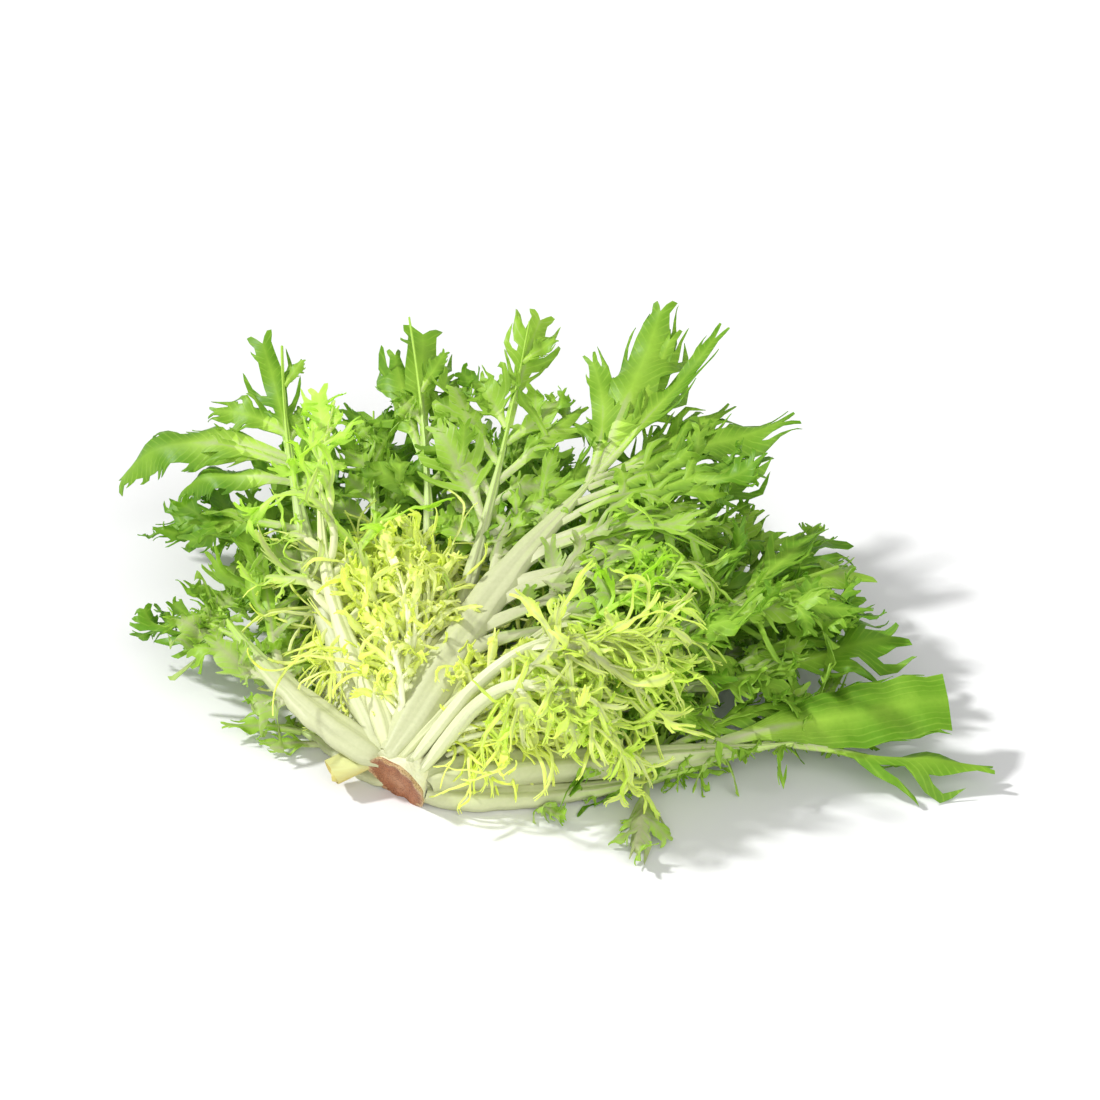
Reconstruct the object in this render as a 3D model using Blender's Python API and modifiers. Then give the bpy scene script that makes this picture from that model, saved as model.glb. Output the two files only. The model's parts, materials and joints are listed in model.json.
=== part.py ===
"""A head of frisee (curly endive), cut from its root and laid on its side.

Every leaf is one thin blade cut into forked lobes down to a thick rib. The ribs spring
from a short crown, and the head has opened into a fan: the outer leaves lie lowest,
the yellow heart stands in the middle, and a few broad leaves lie over it. The origin
is the small flat spot under the crown, where the head rests. +X is to the right
across the fan and +Y runs away from the knife cut.
"""

import math
import random
from collections import namedtuple

import bmesh
import bpy
import numpy as np
from mathutils import Matrix, Vector
from mathutils.bvhtree import BVHTree

MM = 0.001
UP = Vector((0, 0, 1))

# Crown: the stem that the leaves grow from, turned about its own axis. Each profile
# point is a distance along the axis and a radius, in millimetres.
CROWN_CENTRE = Vector((0.6, 0.7, 11.2)) * MM
CROWN_HEADING, CROWN_RISE = 51, 18
CROWN_PROFILE = ((-8.5, 9.8), (-7.2, 11.2), (-2, 12.3), (4, 11.2), (8, 8.6), (10.5, 5.0))
CROWN_SIDES = 24
SEAT_RADIUS = 15.5 * MM

# The stub of a leaf that was cut off, to the left of the crown
STUB_START, STUB_END = Vector((-16.9, 7.2, 11)) * MM, Vector((-26.9, 1.2, 7)) * MM
STUB_WIDE, STUB_THICK = 12 * MM, 6.5 * MM

# Blades: how thick, how far they keep from each other and from the surface
BLADE_THICK = 0.8 * MM
THICKEST = 4.2 * MM
CLEARANCE = 0.45 * MM
FLOOR_GAP = 0.3 * MM

Kind = namedtuple("Kind", "rows bare lobe lobe_width blade rib_thick angle lift curl colour")
KINDS = {
    "outer": Kind(16, 4, 37, 4.4, 4.0, 3.6, 62, 22, 16, (0.20, 0.42, 0.05)),
    "middle": Kind(13, 3, 31, 3.2, 2.5, 3.0, 60, 28, 24, (0.42, 0.62, 0.10)),
    "inner": Kind(8, 1, 20, 2.4, 1.2, 2.2, 58, 32, 30, (0.72, 0.78, 0.16)),
}

# Leaves: heading and rise of the line from root to tip in degrees, its reach, how far
# the rib bows up and sideways, how far the tip drops, the roll of the blade, the seat
# round the crown (heading and height in degrees), the rib's width, and how long the
# left and the right lobes are beside the usual. Lengths are in millimetres. The first
# ones lie over the heart and the last ones under it.
Leaf = namedtuple("Leaf", "name kind heading rise reach arch sway drop roll seat rib sides", defaults=[(1, 1)])
LEAVES = [
    Leaf("leaf_main", "outer", 62, 14, 204, 14, 1, 0, -8, (86, 56), 12.5, (0.8, 1.15)),
    Leaf("leaf_front_left", "outer", 127, 5, 118, 3, -8, 4, -10, (168, 14), 10),
    Leaf("leaf_over_left", "middle", 105, 21, 140, -2, -8, 0, 10, (130, 48), 8),
    Leaf("leaf_front_right", "outer", 5, 3, 168, 4, 4, 0, 14, (-6, 2), 11, (1, 0.75)),
    Leaf("leaf_tall_left", "outer", 105, 18, 180, -10, -10, 0, 8, (141, 23), 9.5, (1.3, 0.7)),
    Leaf("leaf_back_left", "outer", 96, 13, 172, -8, -2, 0, 0, (114, 9), 7.5),
    Leaf("leaf_back_middle", "outer", 90, 21, 168, -20, 0, 0, -6, (95, 30), 9),
    Leaf("leaf_slim", "outer", 78, 20, 180, -14, 2, 0, -8, (70, 32), 8),
    Leaf("leaf_back_right", "outer", 49, 11, 186, -8, 4, 2, 0, (46, 26), 8.5),
    Leaf("leaf_right_upper", "outer", 29, 9, 168, 6, 2, 2, 6, (22, 10), 8),
    Leaf("leaf_right_lower", "outer", 18, 5, 168, 6, 2, 2, 8, (18, -9), 8),
    Leaf("leaf_fringe_1", "middle", -12, -7, 66, 34, 2, 4, 16, (2, 38), 6.5),
    Leaf("leaf_fringe_2", "middle", 20, 10, 84, 24, 2, 6, 12, (17, 53), 6),
    Leaf("leaf_fringe_3", "middle", 36, 16, 108, 12, 0, 4, 4, (44, 50), 5.5),
    Leaf("leaf_under_1", "outer", 120, 9, 150, -2, -2, 0, 0, (136, -12), 8),
    Leaf("leaf_under_2", "outer", 105, 7, 165, -4, 0, 0, 0, (110, -14), 8),
    Leaf("leaf_under_3", "outer", 78, 9, 165, -4, 0, 0, 0, (80, -10), 8),
    Leaf("leaf_under_4", "outer", 42, 7, 176, -4, 0, 0, 0, (44, -6), 8),
    Leaf("leaf_floor_1", "outer", 146, 1, 102, 0, 4, 0, 0, (166, -40), 8.5),
    Leaf("leaf_floor_2", "outer", 120, 1, 150, 0, 0, 0, 0, (124, -46), 9),
    Leaf("leaf_floor_3", "outer", 93, 1, 165, 0, 0, 0, 0, (92, -46), 9),
    Leaf("leaf_floor_4", "outer", 63, 1, 170, 0, 0, 0, 0, (60, -46), 9),
    Leaf("leaf_floor_5", "outer", 32, 1, 165, 0, 0, 0, 0, (28, -44), 9),
    Leaf("leaf_floor_6", "outer", 10, 1, 110, 0, 18, 0, 0, (-30, -30), 11, (1.1, 0.45)),
]

OVER_HEART = 4

# Heart: small leaves fused round a core that is smaller than they are
HEART_CENTRE = Vector((-2.4, 46.2, 28.5)) * MM
HEART_SIZE = Vector((9, 24, 5.5)) * MM
HEART_RISE = 12
HEART_LEAVES = 12
HEART_TURNS = (0, 0), (12, 0), (-12, 0), (0, 14), (0, -12), (22, 10), (-22, 10), (35, -10), (-35, -10)


def direction(heading, rise):
    """The unit vector of a heading (0 is +X, 90 is +Y) and a rise above the level."""
    h, r = math.radians(heading), math.radians(rise)
    return Vector((math.cos(h) * math.cos(r), math.sin(h) * math.cos(r), math.sin(r)))


def smooth(x, low, high):
    """0 below low, 1 above high, and an even curve between them."""
    x = min(1.0, max(0.0, (x - low) / (high - low)))
    return x * x * (3 - 2 * x)


class Rib:
    """The line that a leaf's rib follows, with the blade's frame and width along it."""

    def __init__(self, leaf, root=None):
        self.leaf = leaf
        self.kind = KINDS[leaf.kind]
        self.root = root or CROWN_CENTRE + direction(*leaf.seat) * SEAT_RADIUS
        self.chord = direction(leaf.heading, leaf.rise) * leaf.reach * MM
        self.side = direction(leaf.heading + 90, 0)

    def thick(self, t):
        return (self.kind.rib_thick * (1 - t) + 1.1 * t) * MM

    def point(self, t):
        bow = 4 * t * (1 - t)
        p = self.root + self.chord * t
        p -= self.side * self.leaf.sway * MM * bow
        p += UP * (self.leaf.arch * bow - self.leaf.drop * t**3) * MM
        p.z = max(p.z, self.thick(t) / 2 + FLOOR_GAP)
        return p

    def frame(self, t):
        """Along the rib, across it to the right, and out of the blade's upper face."""
        along = (self.point(min(1, t + 0.02)) - self.point(max(0, t - 0.02))).normalized()
        normal = (UP - along * UP.dot(along)).normalized()
        across = along.cross(normal)
        roll = math.radians(self.leaf.roll) * smooth(t, 0.1, 0.6)
        across = across * math.cos(roll) + normal * math.sin(roll)
        return along, across, across.cross(along)

    def half_width(self, t):
        rib = self.leaf.rib / 2 * (0.6 + 0.4 * smooth(t, 0, 0.15)) * (1 - 0.8 * smooth(t, 0.2, 1))
        blade = self.kind.blade * smooth(t, 0.4, 0.8) * (1 - 0.5 * smooth(t, 0.85, 1))
        return (rib + blade) * MM

    def strip(self):
        """The rib's points in rows of three, their thicknesses, and its triangles."""
        points, thick, faces = [], [], []
        for row in range(self.kind.rows + 1):
            t = row / self.kind.rows
            along, across, normal = self.frame(t)
            middle, half = self.point(t), self.half_width(t)
            crest = normal * self.thick(t) * 0.2
            points += [middle - across * half, middle + crest, middle + across * half]
            edge = max(BLADE_THICK, self.thick(t) * 0.62 * (1 - smooth(t, 0.25, 0.7)))
            thick += [edge, self.thick(t), edge]
            if row:
                a = 3 * (row - 1)
                faces += [(a, a + 1, a + 4), (a, a + 4, a + 3)]
                faces += [(a + 1, a + 2, a + 5), (a + 1, a + 5, a + 4)]
        for p, h in zip(points, thick):
            p.z = max(p.z, h / 2 + FLOOR_GAP)
        return points, thick, faces


Lobe = namedtuple("Lobe", "row side angle lift curl length width")


def lobes_of(leaf):
    """The lobes of a leaf, with their random bends drawn from the leaf's own name."""
    kind = KINDS[leaf.kind]
    draw = random.Random(leaf.name)
    lobes = []
    for row in range(kind.bare, kind.rows):
        t = (row + 0.5) / kind.rows
        size = 0.4 + 0.6 * math.sin(math.pi * smooth(t, 0.0, 1.1) ** 0.8)
        side = 1 if row % 2 else -1
        angle = kind.angle - 22 * t + draw.uniform(-8, 8)
        lift = draw.uniform(-0.5, 1) * kind.lift
        curl = draw.uniform(-1, 0.6) * kind.curl
        length = kind.lobe * size * leaf.sides[side > 0] * draw.uniform(0.85, 1.2) * MM
        width = kind.lobe_width * draw.uniform(0.85, 1.2) * MM
        lobes.append(Lobe(row, side, angle, lift, curl, length, width))
    lobes.append(Lobe(kind.rows, 0, 0, 0, kind.curl / 2, kind.lobe * 0.5 * MM, kind.lobe_width * MM))
    return lobes


def lobe_points(rib, lobe):
    """A lobe's pair of edge points, its notch and its two tips, from the rib outwards."""
    tip = lobe.side == 0
    t = 1 if tip else (lobe.row + 0.5) / rib.kind.rows
    along, across, normal = rib.frame(t)
    if tip:
        along, across = across, along
        side, middle = 1, rib.point(t)
    else:
        side = lobe.side
        middle = rib.point(t) + across * side * rib.half_width(t)

    def way(turn, lift):
        a, up = math.radians(turn), math.radians(lift)
        level = along * math.cos(a) + across * side * math.sin(a)
        return (level * math.cos(up) + normal * math.sin(up)).normalized()

    angle = 90 if tip else lobe.angle
    first, second = way(angle, lobe.lift), way(angle - (0 if tip else 10), lobe.lift + lobe.curl)
    middle = middle + first * lobe.length * 0.6
    edge = (along - first * along.dot(first)).normalized() * lobe.width
    points = [middle - edge, middle + edge, middle + second * lobe.length * 0.08]
    for turn in (33, -31):
        out = way(angle - (0 if tip else 10) + turn, lobe.lift + 1.6 * lobe.curl)
        points.append(middle + out * lobe.length * 0.38)
    for p in points:
        p.z = max(p.z, BLADE_THICK / 2 + FLOOR_GAP)
    return points


# A lobe's triangles: points 0 and 1 are on the rib, then come the points above
FORK = ((0, 1, 3), (0, 3, 4), (0, 4, 2), (2, 4, 6), (4, 3, 5))


def base_of(rib, lobe):
    """The two points of the rib's strip that a lobe grows from, as indices."""
    if lobe.side == 0:
        return 3 * lobe.row, 3 * lobe.row + 2
    column = 0 if lobe.side < 0 else 2
    return 3 * lobe.row + column, 3 * lobe.row + 3 + column


def slab(points, faces, half):
    """A closed slab round a sheet of points and triangles, to test for crossings."""
    a, b, c = (points[i] for i in faces[0])
    normal = (b - a).cross(c - a).normalized() * half
    n = len(points)
    solid = [p + normal for p in points] + [p - normal for p in points]
    walls = [f for f in faces] + [(a + n, c + n, b + n) for a, b, c in faces]
    edges = {e for a, b, c in faces for e in ((a, b), (b, c), (c, a))}
    for a, b in edges:
        if (b, a) not in edges:
            walls += [(a, a + n, b), (b, a + n, b + n)]
    return solid, walls


class Space:
    """What stands where, so that a new lobe can be bent clear of other pieces."""

    def __init__(self):
        self.lows, self.highs, self.trees, self.owners = [], [], [], []

    def add(self, piece, part, points, faces):
        co = np.array(points)
        self.lows.append(co.min(0))
        self.highs.append(co.max(0))
        self.trees.append(BVHTree.FromPolygons(points, faces))
        self.owners.append((piece, part))

    def crosses(self, piece, points, faces):
        """Whether a slab touches anything but its own rib and, in the heart, the core."""
        co = np.array(points)
        low, high = co.min(0), co.max(0)
        near = (np.array(self.lows) <= high).all(1) & (np.array(self.highs) >= low).all(1)
        tree = None
        for i in np.flatnonzero(near):
            owner, part = self.owners[i]
            if (owner == piece and part == "rib") or (owner == "core" and piece.startswith("heart")):
                continue
            tree = tree or BVHTree.FromPolygons(points, faces)
            if self.trees[i].overlap(tree):
                return True
        return False


def place_lobe(rib, strip, lobe, space):
    """The lobe's points where it clears the rest: as drawn, else bent, else shortened."""
    a, b = base_of(rib, lobe)
    for share in (1, 0.8, 0.62, 0.45):
        for turn, lift in ((0, 0), (0, 14), (0, -14), (10, 8), (-10, 8), (0, 28), (0, -26), (12, -16), (-12, -16), (0, 44)):
            tried = lobe._replace(angle=lobe.angle + turn, lift=lobe.lift + lift, length=lobe.length * share)
            points = lobe_points(rib, tried)
            low, high = strip[a].lerp(strip[b], 0.12), strip[b].lerp(strip[a], 0.12)
            solid, walls = slab([low, high] + points, FORK, BLADE_THICK / 2 + CLEARANCE)
            if not space.crosses(rib.leaf.name, solid, walls):
                space.add(rib.leaf.name, (lobe.row, lobe.side), solid, walls)
                return points
    return None


def leaf_object(rib, space, collection, material=None):
    """One leaf: the rib's strip with its lobes, given its thickness by Solidify."""
    name = rib.leaf.name
    points, thick, faces = rib.strip()
    strip = list(points)
    for lobe in lobes_of(rib.leaf):
        placed = place_lobe(rib, strip, lobe, space)
        if placed is None:
            continue
        ids = list(base_of(rib, lobe)) + [len(points) + i for i in range(len(placed))]
        points += placed
        thick += [BLADE_THICK] * len(placed)
        fork = [tuple(ids[i] for i in f) for f in FORK]
        if lobe.side == 0:
            middle = ids[0] + 1
            fork = [(ids[0], middle, ids[4])] + [(middle, ids[1], ids[3]), (middle, ids[3], ids[4])] + [
                tuple(ids[i] for i in f) for f in FORK[2:]
            ]
        faces += fork if lobe.side >= 0 else [f[::-1] for f in fork]
    mesh = bpy.data.meshes.new(name)
    mesh.from_pydata(points, [], faces)
    bm = bmesh.new()
    bm.from_mesh(mesh)
    bmesh.ops.recalc_face_normals(bm, faces=bm.faces)
    bm.to_mesh(mesh)
    bm.free()
    obj = bpy.data.objects.new(name, mesh)
    collection.objects.link(obj)
    mesh.materials.append(material or material_of(name, rib.kind.colour))
    group = obj.vertex_groups.new(name="thickness")
    for i, h in enumerate(thick):
        group.add([i], h / THICKEST, "REPLACE")
    solid = obj.modifiers.new("blade", "SOLIDIFY")
    solid.thickness = THICKEST
    solid.offset = 0
    solid.vertex_group = group.name
    return obj


def material_of(name, colour, roughness=0.5):
    material = bpy.data.materials.new(name)
    material.use_nodes = True
    shader = material.node_tree.nodes["Principled BSDF"]
    shader.inputs["Base Color"].default_value = (*colour, 1)
    shader.inputs["Roughness"].default_value = roughness
    shader.inputs["Metallic"].default_value = 0
    return material


def object_of(name, bm, collection, material):
    mesh = bpy.data.meshes.new(name)
    bm.to_mesh(mesh)
    bm.free()
    mesh.materials.append(material)
    obj = bpy.data.objects.new(name, mesh)
    collection.objects.link(obj)
    return obj


def crown_object(collection):
    """The crown, turned from its profile and cut flat where it rests."""
    axis = direction(CROWN_HEADING, CROWN_RISE)
    side = axis.cross(UP).normalized()
    up = side.cross(axis)
    bm = bmesh.new()
    rings = []
    for along, radius in CROWN_PROFILE:
        ring = []
        for i in range(CROWN_SIDES):
            a = 2 * math.pi * (i + 0.5) / CROWN_SIDES
            out = side * math.cos(a) * 1.04 + up * math.sin(a)
            ring.append(bm.verts.new(CROWN_CENTRE + (axis * along + out * radius) * MM))
        rings.append(ring)
    for low, high in zip(rings, rings[1:]):
        for i in range(CROWN_SIDES):
            j = (i + 1) % CROWN_SIDES
            bm.faces.new((low[i], low[j], high[j], high[i]))
    bm.faces.new(rings[0][::-1])
    bm.faces.new(rings[-1])
    bmesh.ops.triangulate(bm, faces=bm.faces[:])
    everything = bm.verts[:] + bm.edges[:] + bm.faces[:]
    bmesh.ops.bisect_plane(bm, geom=everything, plane_co=(0, 0, 0), plane_no=(0, 0, 1), clear_inner=True)
    bmesh.ops.contextual_create(bm, geom=[e for e in bm.edges if e.is_boundary])
    bmesh.ops.recalc_face_normals(bm, faces=bm.faces)
    return object_of("crown", bm, collection, material_of("crown", (0.85, 0.84, 0.72), 0.45))


def stub_object(collection):
    """The cut leaf stalk: a short half-round bar with a slanted cut at its free end."""
    along = (STUB_END - STUB_START).normalized()
    side = along.cross(UP).normalized()
    up = side.cross(along)
    bm = bmesh.new()
    rings = []
    for share, size in ((0, 0.9), (0.75, 1), (1, 0.93)):
        centre = STUB_START.lerp(STUB_END, share)
        ring = []
        for x, z in ((-1, -0.1), (-0.72, 0.32), (-0.3, 0.5), (0.3, 0.5), (0.72, 0.32), (1, -0.1), (0.55, -0.42), (-0.55, -0.42)):
            lean = along * STUB_THICK * (0.5 - z) * (0.5 if share == 1 else 0)
            ring.append(bm.verts.new(centre + (side * x * STUB_WIDE / 2 + up * z * STUB_THICK) * size + lean))
        rings.append(ring)
    for low, high in zip(rings, rings[1:]):
        for i in range(8):
            bm.faces.new((low[i], low[(i + 1) % 8], high[(i + 1) % 8], high[i]))
    bm.faces.new(rings[0][::-1])
    bm.faces.new(rings[-1])
    bmesh.ops.triangulate(bm, faces=bm.faces[:])
    bmesh.ops.recalc_face_normals(bm, faces=bm.faces)
    return object_of("cut_stalk", bm, collection, material_of("cut_stalk", (0.55, 0.52, 0.22), 0.5))


def heart_ribs(space):
    """The heart's small leaves, standing out of its core, turned until they are clear."""
    draw = random.Random("heart")
    ribs = []
    for i in range(HEART_LEAVES):
        turn = math.radians(i * 137.5)
        lean = math.sqrt((i + 0.5) / HEART_LEAVES)
        reach = 46 + 16 * lean + draw.uniform(-4, 4)
        sway, roll = draw.uniform(-5, 5), draw.uniform(-40, 40)
        for shift, lift in HEART_TURNS:
            heading = 84 + 80 * lean * math.sin(turn) + shift
            rise = max(4, 26 + 34 * lean * math.cos(turn) + lift)
            leaf = Leaf(f"heart_{i}", "inner", heading, rise, reach, 5, sway, 4, roll, None, 4.5)
            along = direction(90, HEART_RISE) * HEART_SIZE.y * (0.55 - 1.25 * lean)
            root = HEART_CENTRE + along + direction(heading, rise) * 3 * MM
            rib = Rib(leaf, root)
            slabs = list(rib_slabs(rib))
            if not any(space.crosses(leaf.name, *walls) for walls in slabs):
                for walls in slabs[1:]:
                    space.add(leaf.name, "rib", *walls)
                ribs.append(rib)
                break
    return ribs


def core_mesh():
    bm = bmesh.new()
    bmesh.ops.create_icosphere(bm, subdivisions=2, radius=1)
    bmesh.ops.scale(bm, vec=HEART_SIZE, verts=bm.verts)
    tilt = Matrix.Rotation(math.radians(HEART_RISE), 3, "X")
    bmesh.ops.rotate(bm, matrix=tilt, verts=bm.verts)
    bmesh.ops.translate(bm, vec=HEART_CENTRE, verts=bm.verts)
    return bm


def keep_largest(mesh):
    """Drops the scraps and the sealed hollows that the union leaves."""
    bm = bmesh.new()
    bm.from_mesh(mesh)
    left, islands = set(bm.verts), []
    while left:
        island, edge = set(), [left.pop()]
        while edge:
            v = edge.pop()
            island.add(v)
            near = {e.other_vert(v) for e in v.link_edges} & left
            left -= near
            edge += near
        islands.append(island)
    largest = max(islands, key=len)
    bmesh.ops.delete(bm, geom=[v for v in bm.verts if v not in largest], context="VERTS")
    bm.to_mesh(mesh)
    bm.free()


def heart_object(space, collection):
    """The heart: its leaves joined to the core by one union, which is then applied."""
    material = material_of("heart", KINDS["inner"].colour, 0.45)
    core = object_of("heart", core_mesh(), collection, material)
    leaves = bpy.data.collections.new("heart leaves")
    leaves.hide_render = True
    bpy.context.scene.collection.children.link(leaves)
    for rib in heart_ribs(space):
        leaf_object(rib, space, leaves, material)
    union = core.modifiers.new("leaves", "BOOLEAN")
    union.operation = "UNION"
    union.operand_type = "COLLECTION"
    union.collection = leaves
    union.solver = "EXACT"
    depsgraph = bpy.context.evaluated_depsgraph_get()
    joined = bpy.data.meshes.new_from_object(core.evaluated_get(depsgraph))
    keep_largest(joined)
    core.modifiers.clear()
    core.data = joined
    for obj in list(leaves.objects):
        bpy.data.objects.remove(obj)
    bpy.data.collections.remove(leaves)
    return core


def solid_of(obj):
    return [v.co.copy() for v in obj.data.vertices], [tuple(p.vertices) for p in obj.data.polygons]


def rib_slabs(rib):
    """A closed slab round each row of a rib's strip."""
    points, thick, _ = rib.strip()
    rows = ((0, 1, 4), (0, 4, 3), (1, 2, 5), (1, 5, 4))
    for row in range(rib.kind.rows):
        half = max(thick[3 * row : 3 * row + 6]) / 2 + FLOOR_GAP / 2
        yield slab(points[3 * row : 3 * row + 6], rows, half)


def reserve(space, collection):
    """The crown, the stub, the core and every rib, which the lobes then keep clear of."""
    for obj in (crown_object(collection), stub_object(collection)):
        space.add(obj.name, "body", *solid_of(obj))
    ribs = [Rib(leaf) for leaf in LEAVES]
    for rib in ribs:
        for solid, walls in rib_slabs(rib):
            space.add(rib.leaf.name, "rib", solid, walls)
    bm = core_mesh()
    core = [v.co.copy() for v in bm.verts], [tuple(v.index for v in f.verts) for f in bm.faces]
    bm.free()
    space.add("core", "body", *core)
    return ribs


def build():
    for obj in list(bpy.data.objects):
        bpy.data.objects.remove(obj)
    collection = bpy.data.collections.new("Frisee head")
    bpy.context.scene.collection.children.link(collection)
    space = Space()
    ribs = reserve(space, collection)
    for rib in ribs[:OVER_HEART]:
        leaf_object(rib, space, collection)
    heart_object(space, collection)
    for rib in ribs[OVER_HEART:]:
        leaf_object(rib, space, collection)


if __name__ == "__main__":
    build()
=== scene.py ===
"""A head of frisee (curly endive) on its side, opened into a fan on a white surface.

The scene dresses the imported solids: every leaf is grown again along the rib of its
solid, with fine toothed fronds, and the crown gets its browned knife cut.
"""

import json
import math
import random

import bmesh
import bpy
import numpy as np
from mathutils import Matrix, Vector

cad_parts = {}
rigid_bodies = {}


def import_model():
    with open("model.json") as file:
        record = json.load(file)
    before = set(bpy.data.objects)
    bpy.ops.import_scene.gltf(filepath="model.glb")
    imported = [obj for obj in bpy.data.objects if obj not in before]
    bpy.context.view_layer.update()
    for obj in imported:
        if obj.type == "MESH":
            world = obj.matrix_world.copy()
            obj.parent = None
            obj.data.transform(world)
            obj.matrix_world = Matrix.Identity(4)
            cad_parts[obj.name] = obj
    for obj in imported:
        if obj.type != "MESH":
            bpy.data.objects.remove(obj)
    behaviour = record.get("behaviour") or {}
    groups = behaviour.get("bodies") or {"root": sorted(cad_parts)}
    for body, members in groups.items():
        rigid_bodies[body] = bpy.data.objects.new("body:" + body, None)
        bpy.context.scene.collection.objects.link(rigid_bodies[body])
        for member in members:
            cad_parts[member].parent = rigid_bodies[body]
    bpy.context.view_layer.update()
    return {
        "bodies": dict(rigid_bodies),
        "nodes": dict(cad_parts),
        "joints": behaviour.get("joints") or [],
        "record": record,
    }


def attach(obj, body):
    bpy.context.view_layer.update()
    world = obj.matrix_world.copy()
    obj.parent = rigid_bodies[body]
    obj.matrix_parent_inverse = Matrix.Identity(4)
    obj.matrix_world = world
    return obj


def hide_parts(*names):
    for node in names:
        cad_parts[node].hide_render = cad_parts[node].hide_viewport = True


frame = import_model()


# The viewpoint: a long lens that looks down on the head from in front of the cut stem.
# REST_PIXEL is where the spot that the head rests on shows in the square picture.
PICTURE_SIDE = 1100
REST_PIXEL = (410, 792)
VIEW_WIDTH = 0.379
VIEW_DOWN = math.radians(35)

camera_data = bpy.data.cameras.new("view")
camera_data.lens = 100
camera_data.clip_end = 20
view = bpy.data.objects.new("view", camera_data)
bpy.context.scene.collection.objects.link(view)
view.rotation_euler = (math.pi / 2 - VIEW_DOWN, 0, 0)
across_view = (PICTURE_SIDE / 2 - REST_PIXEL[0]) / PICTURE_SIDE * VIEW_WIDTH
up_view = (REST_PIXEL[1] - PICTURE_SIDE / 2) / PICTURE_SIDE * VIEW_WIDTH
away = VIEW_WIDTH * camera_data.lens / camera_data.sensor_width
view.location = (
    across_view,
    up_view * math.sin(VIEW_DOWN) - away * math.cos(VIEW_DOWN),
    up_view * math.cos(VIEW_DOWN) + away * math.sin(VIEW_DOWN),
)
bpy.context.scene.camera = view
bpy.context.scene.view_settings.view_transform = "Standard"


# The crown: the short white stem that every leaf grows from. It was sliced through at
# an angle, and the cut has dried to a reddish brown with a paler, corky edge.
MM = 0.001
CROWN_CENTRE = np.array((0.6, 0.7, 11.2)) * MM
CROWN_HEADING, CROWN_RISE = 51, 18
CROWN_RADIUS = 11.6 * MM
CROWN_HALF = 6.5 * MM
CROWN_TAPER = 0.62
CUT_BACK = 8.5 * MM
CUT_SKIN = -6.9 * MM
CUT_RINGS = ((0.7, 0), (1.2, 0.25), (3, 0.35), (3, -0.1))
CUT_COLOURS = (
    (0.3, (0.5, 0.24, 0.12)),
    (0.62, (0.4, 0.15, 0.06)),
    (0.84, (0.34, 0.13, 0.05)),
    (0.95, (0.6, 0.42, 0.22)),
)
CUT_SPOTS = ((0.52, (1, 1, 1)), (0.62, (0.42, 0.3, 0.22)))
CROWN_SKIN = ((0.3, (0.75, 0.74, 0.45)), (0.7, (0.86, 0.86, 0.66)))


def direction(heading, rise):
    """The unit vector of a heading (0 is +X, 90 is +Y) and a rise above the level."""
    h, r = math.radians(heading), math.radians(rise)
    return np.array((math.cos(h) * math.cos(r), math.sin(h) * math.cos(r), math.sin(r)))


def blank_material(name, roughness):
    material = bpy.data.materials.new(name)
    material.use_nodes = True
    shader = material.node_tree.nodes["Principled BSDF"]
    shader.inputs["Roughness"].default_value = roughness
    return material, material.node_tree, shader


def join_nodes(tree, *pairs):
    """Links each (from socket, to socket) pair."""
    for source, target in pairs:
        tree.links.new(source, target)


def math_node(tree, operation, a, b=None, clamp=False):
    node = tree.nodes.new("ShaderNodeMath")
    node.operation = operation
    node.use_clamp = clamp
    for socket, value in zip(node.inputs, (a, b)):
        if isinstance(value, (int, float)):
            socket.default_value = value
        elif value is not None:
            tree.links.new(value, socket)
    return node.outputs[0]


def mix_colour(tree, factor, a, b, blend="MIX"):
    """Mixes two colours, each a socket or a plain (r, g, b)."""
    node = tree.nodes.new("ShaderNodeMix")
    node.data_type = "RGBA"
    node.blend_type = blend
    for socket, value in zip((node.inputs[0], node.inputs[6], node.inputs[7]), (factor, a, b)):
        if isinstance(value, (int, float)):
            socket.default_value = value
        elif isinstance(value, tuple):
            socket.default_value = (*value, 1)
        else:
            tree.links.new(value, socket)
    return node.outputs[2]


def noise(tree, scale, detail, vector=None):
    node = tree.nodes.new("ShaderNodeTexNoise")
    node.inputs["Scale"].default_value = scale
    node.inputs["Detail"].default_value = detail
    if vector is None:
        vector = tree.nodes.new("ShaderNodeTexCoord").outputs["Object"]
    tree.links.new(vector, node.inputs["Vector"])
    return node.outputs["Fac"]


def ramp(tree, factor, stops):
    """A colour ramp over (position, (r, g, b)) stops."""
    node = tree.nodes.new("ShaderNodeValToRGB")
    while len(node.color_ramp.elements) < len(stops):
        node.color_ramp.elements.new(0.5)
    for element, (position, colour) in zip(node.color_ramp.elements, stops):
        element.position = position
        element.color = (*colour, 1)
    tree.links.new(factor, node.inputs[0])
    return node.outputs[0]


def roughen(tree, shader, height, strength, depth):
    """Bumps the surface by a height socket."""
    bump = tree.nodes.new("ShaderNodeBump")
    bump.inputs["Strength"].default_value = strength
    bump.inputs["Distance"].default_value = depth
    join_nodes(tree, (height, bump.inputs["Height"]), (bump.outputs[0], shader.inputs["Normal"]))


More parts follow.
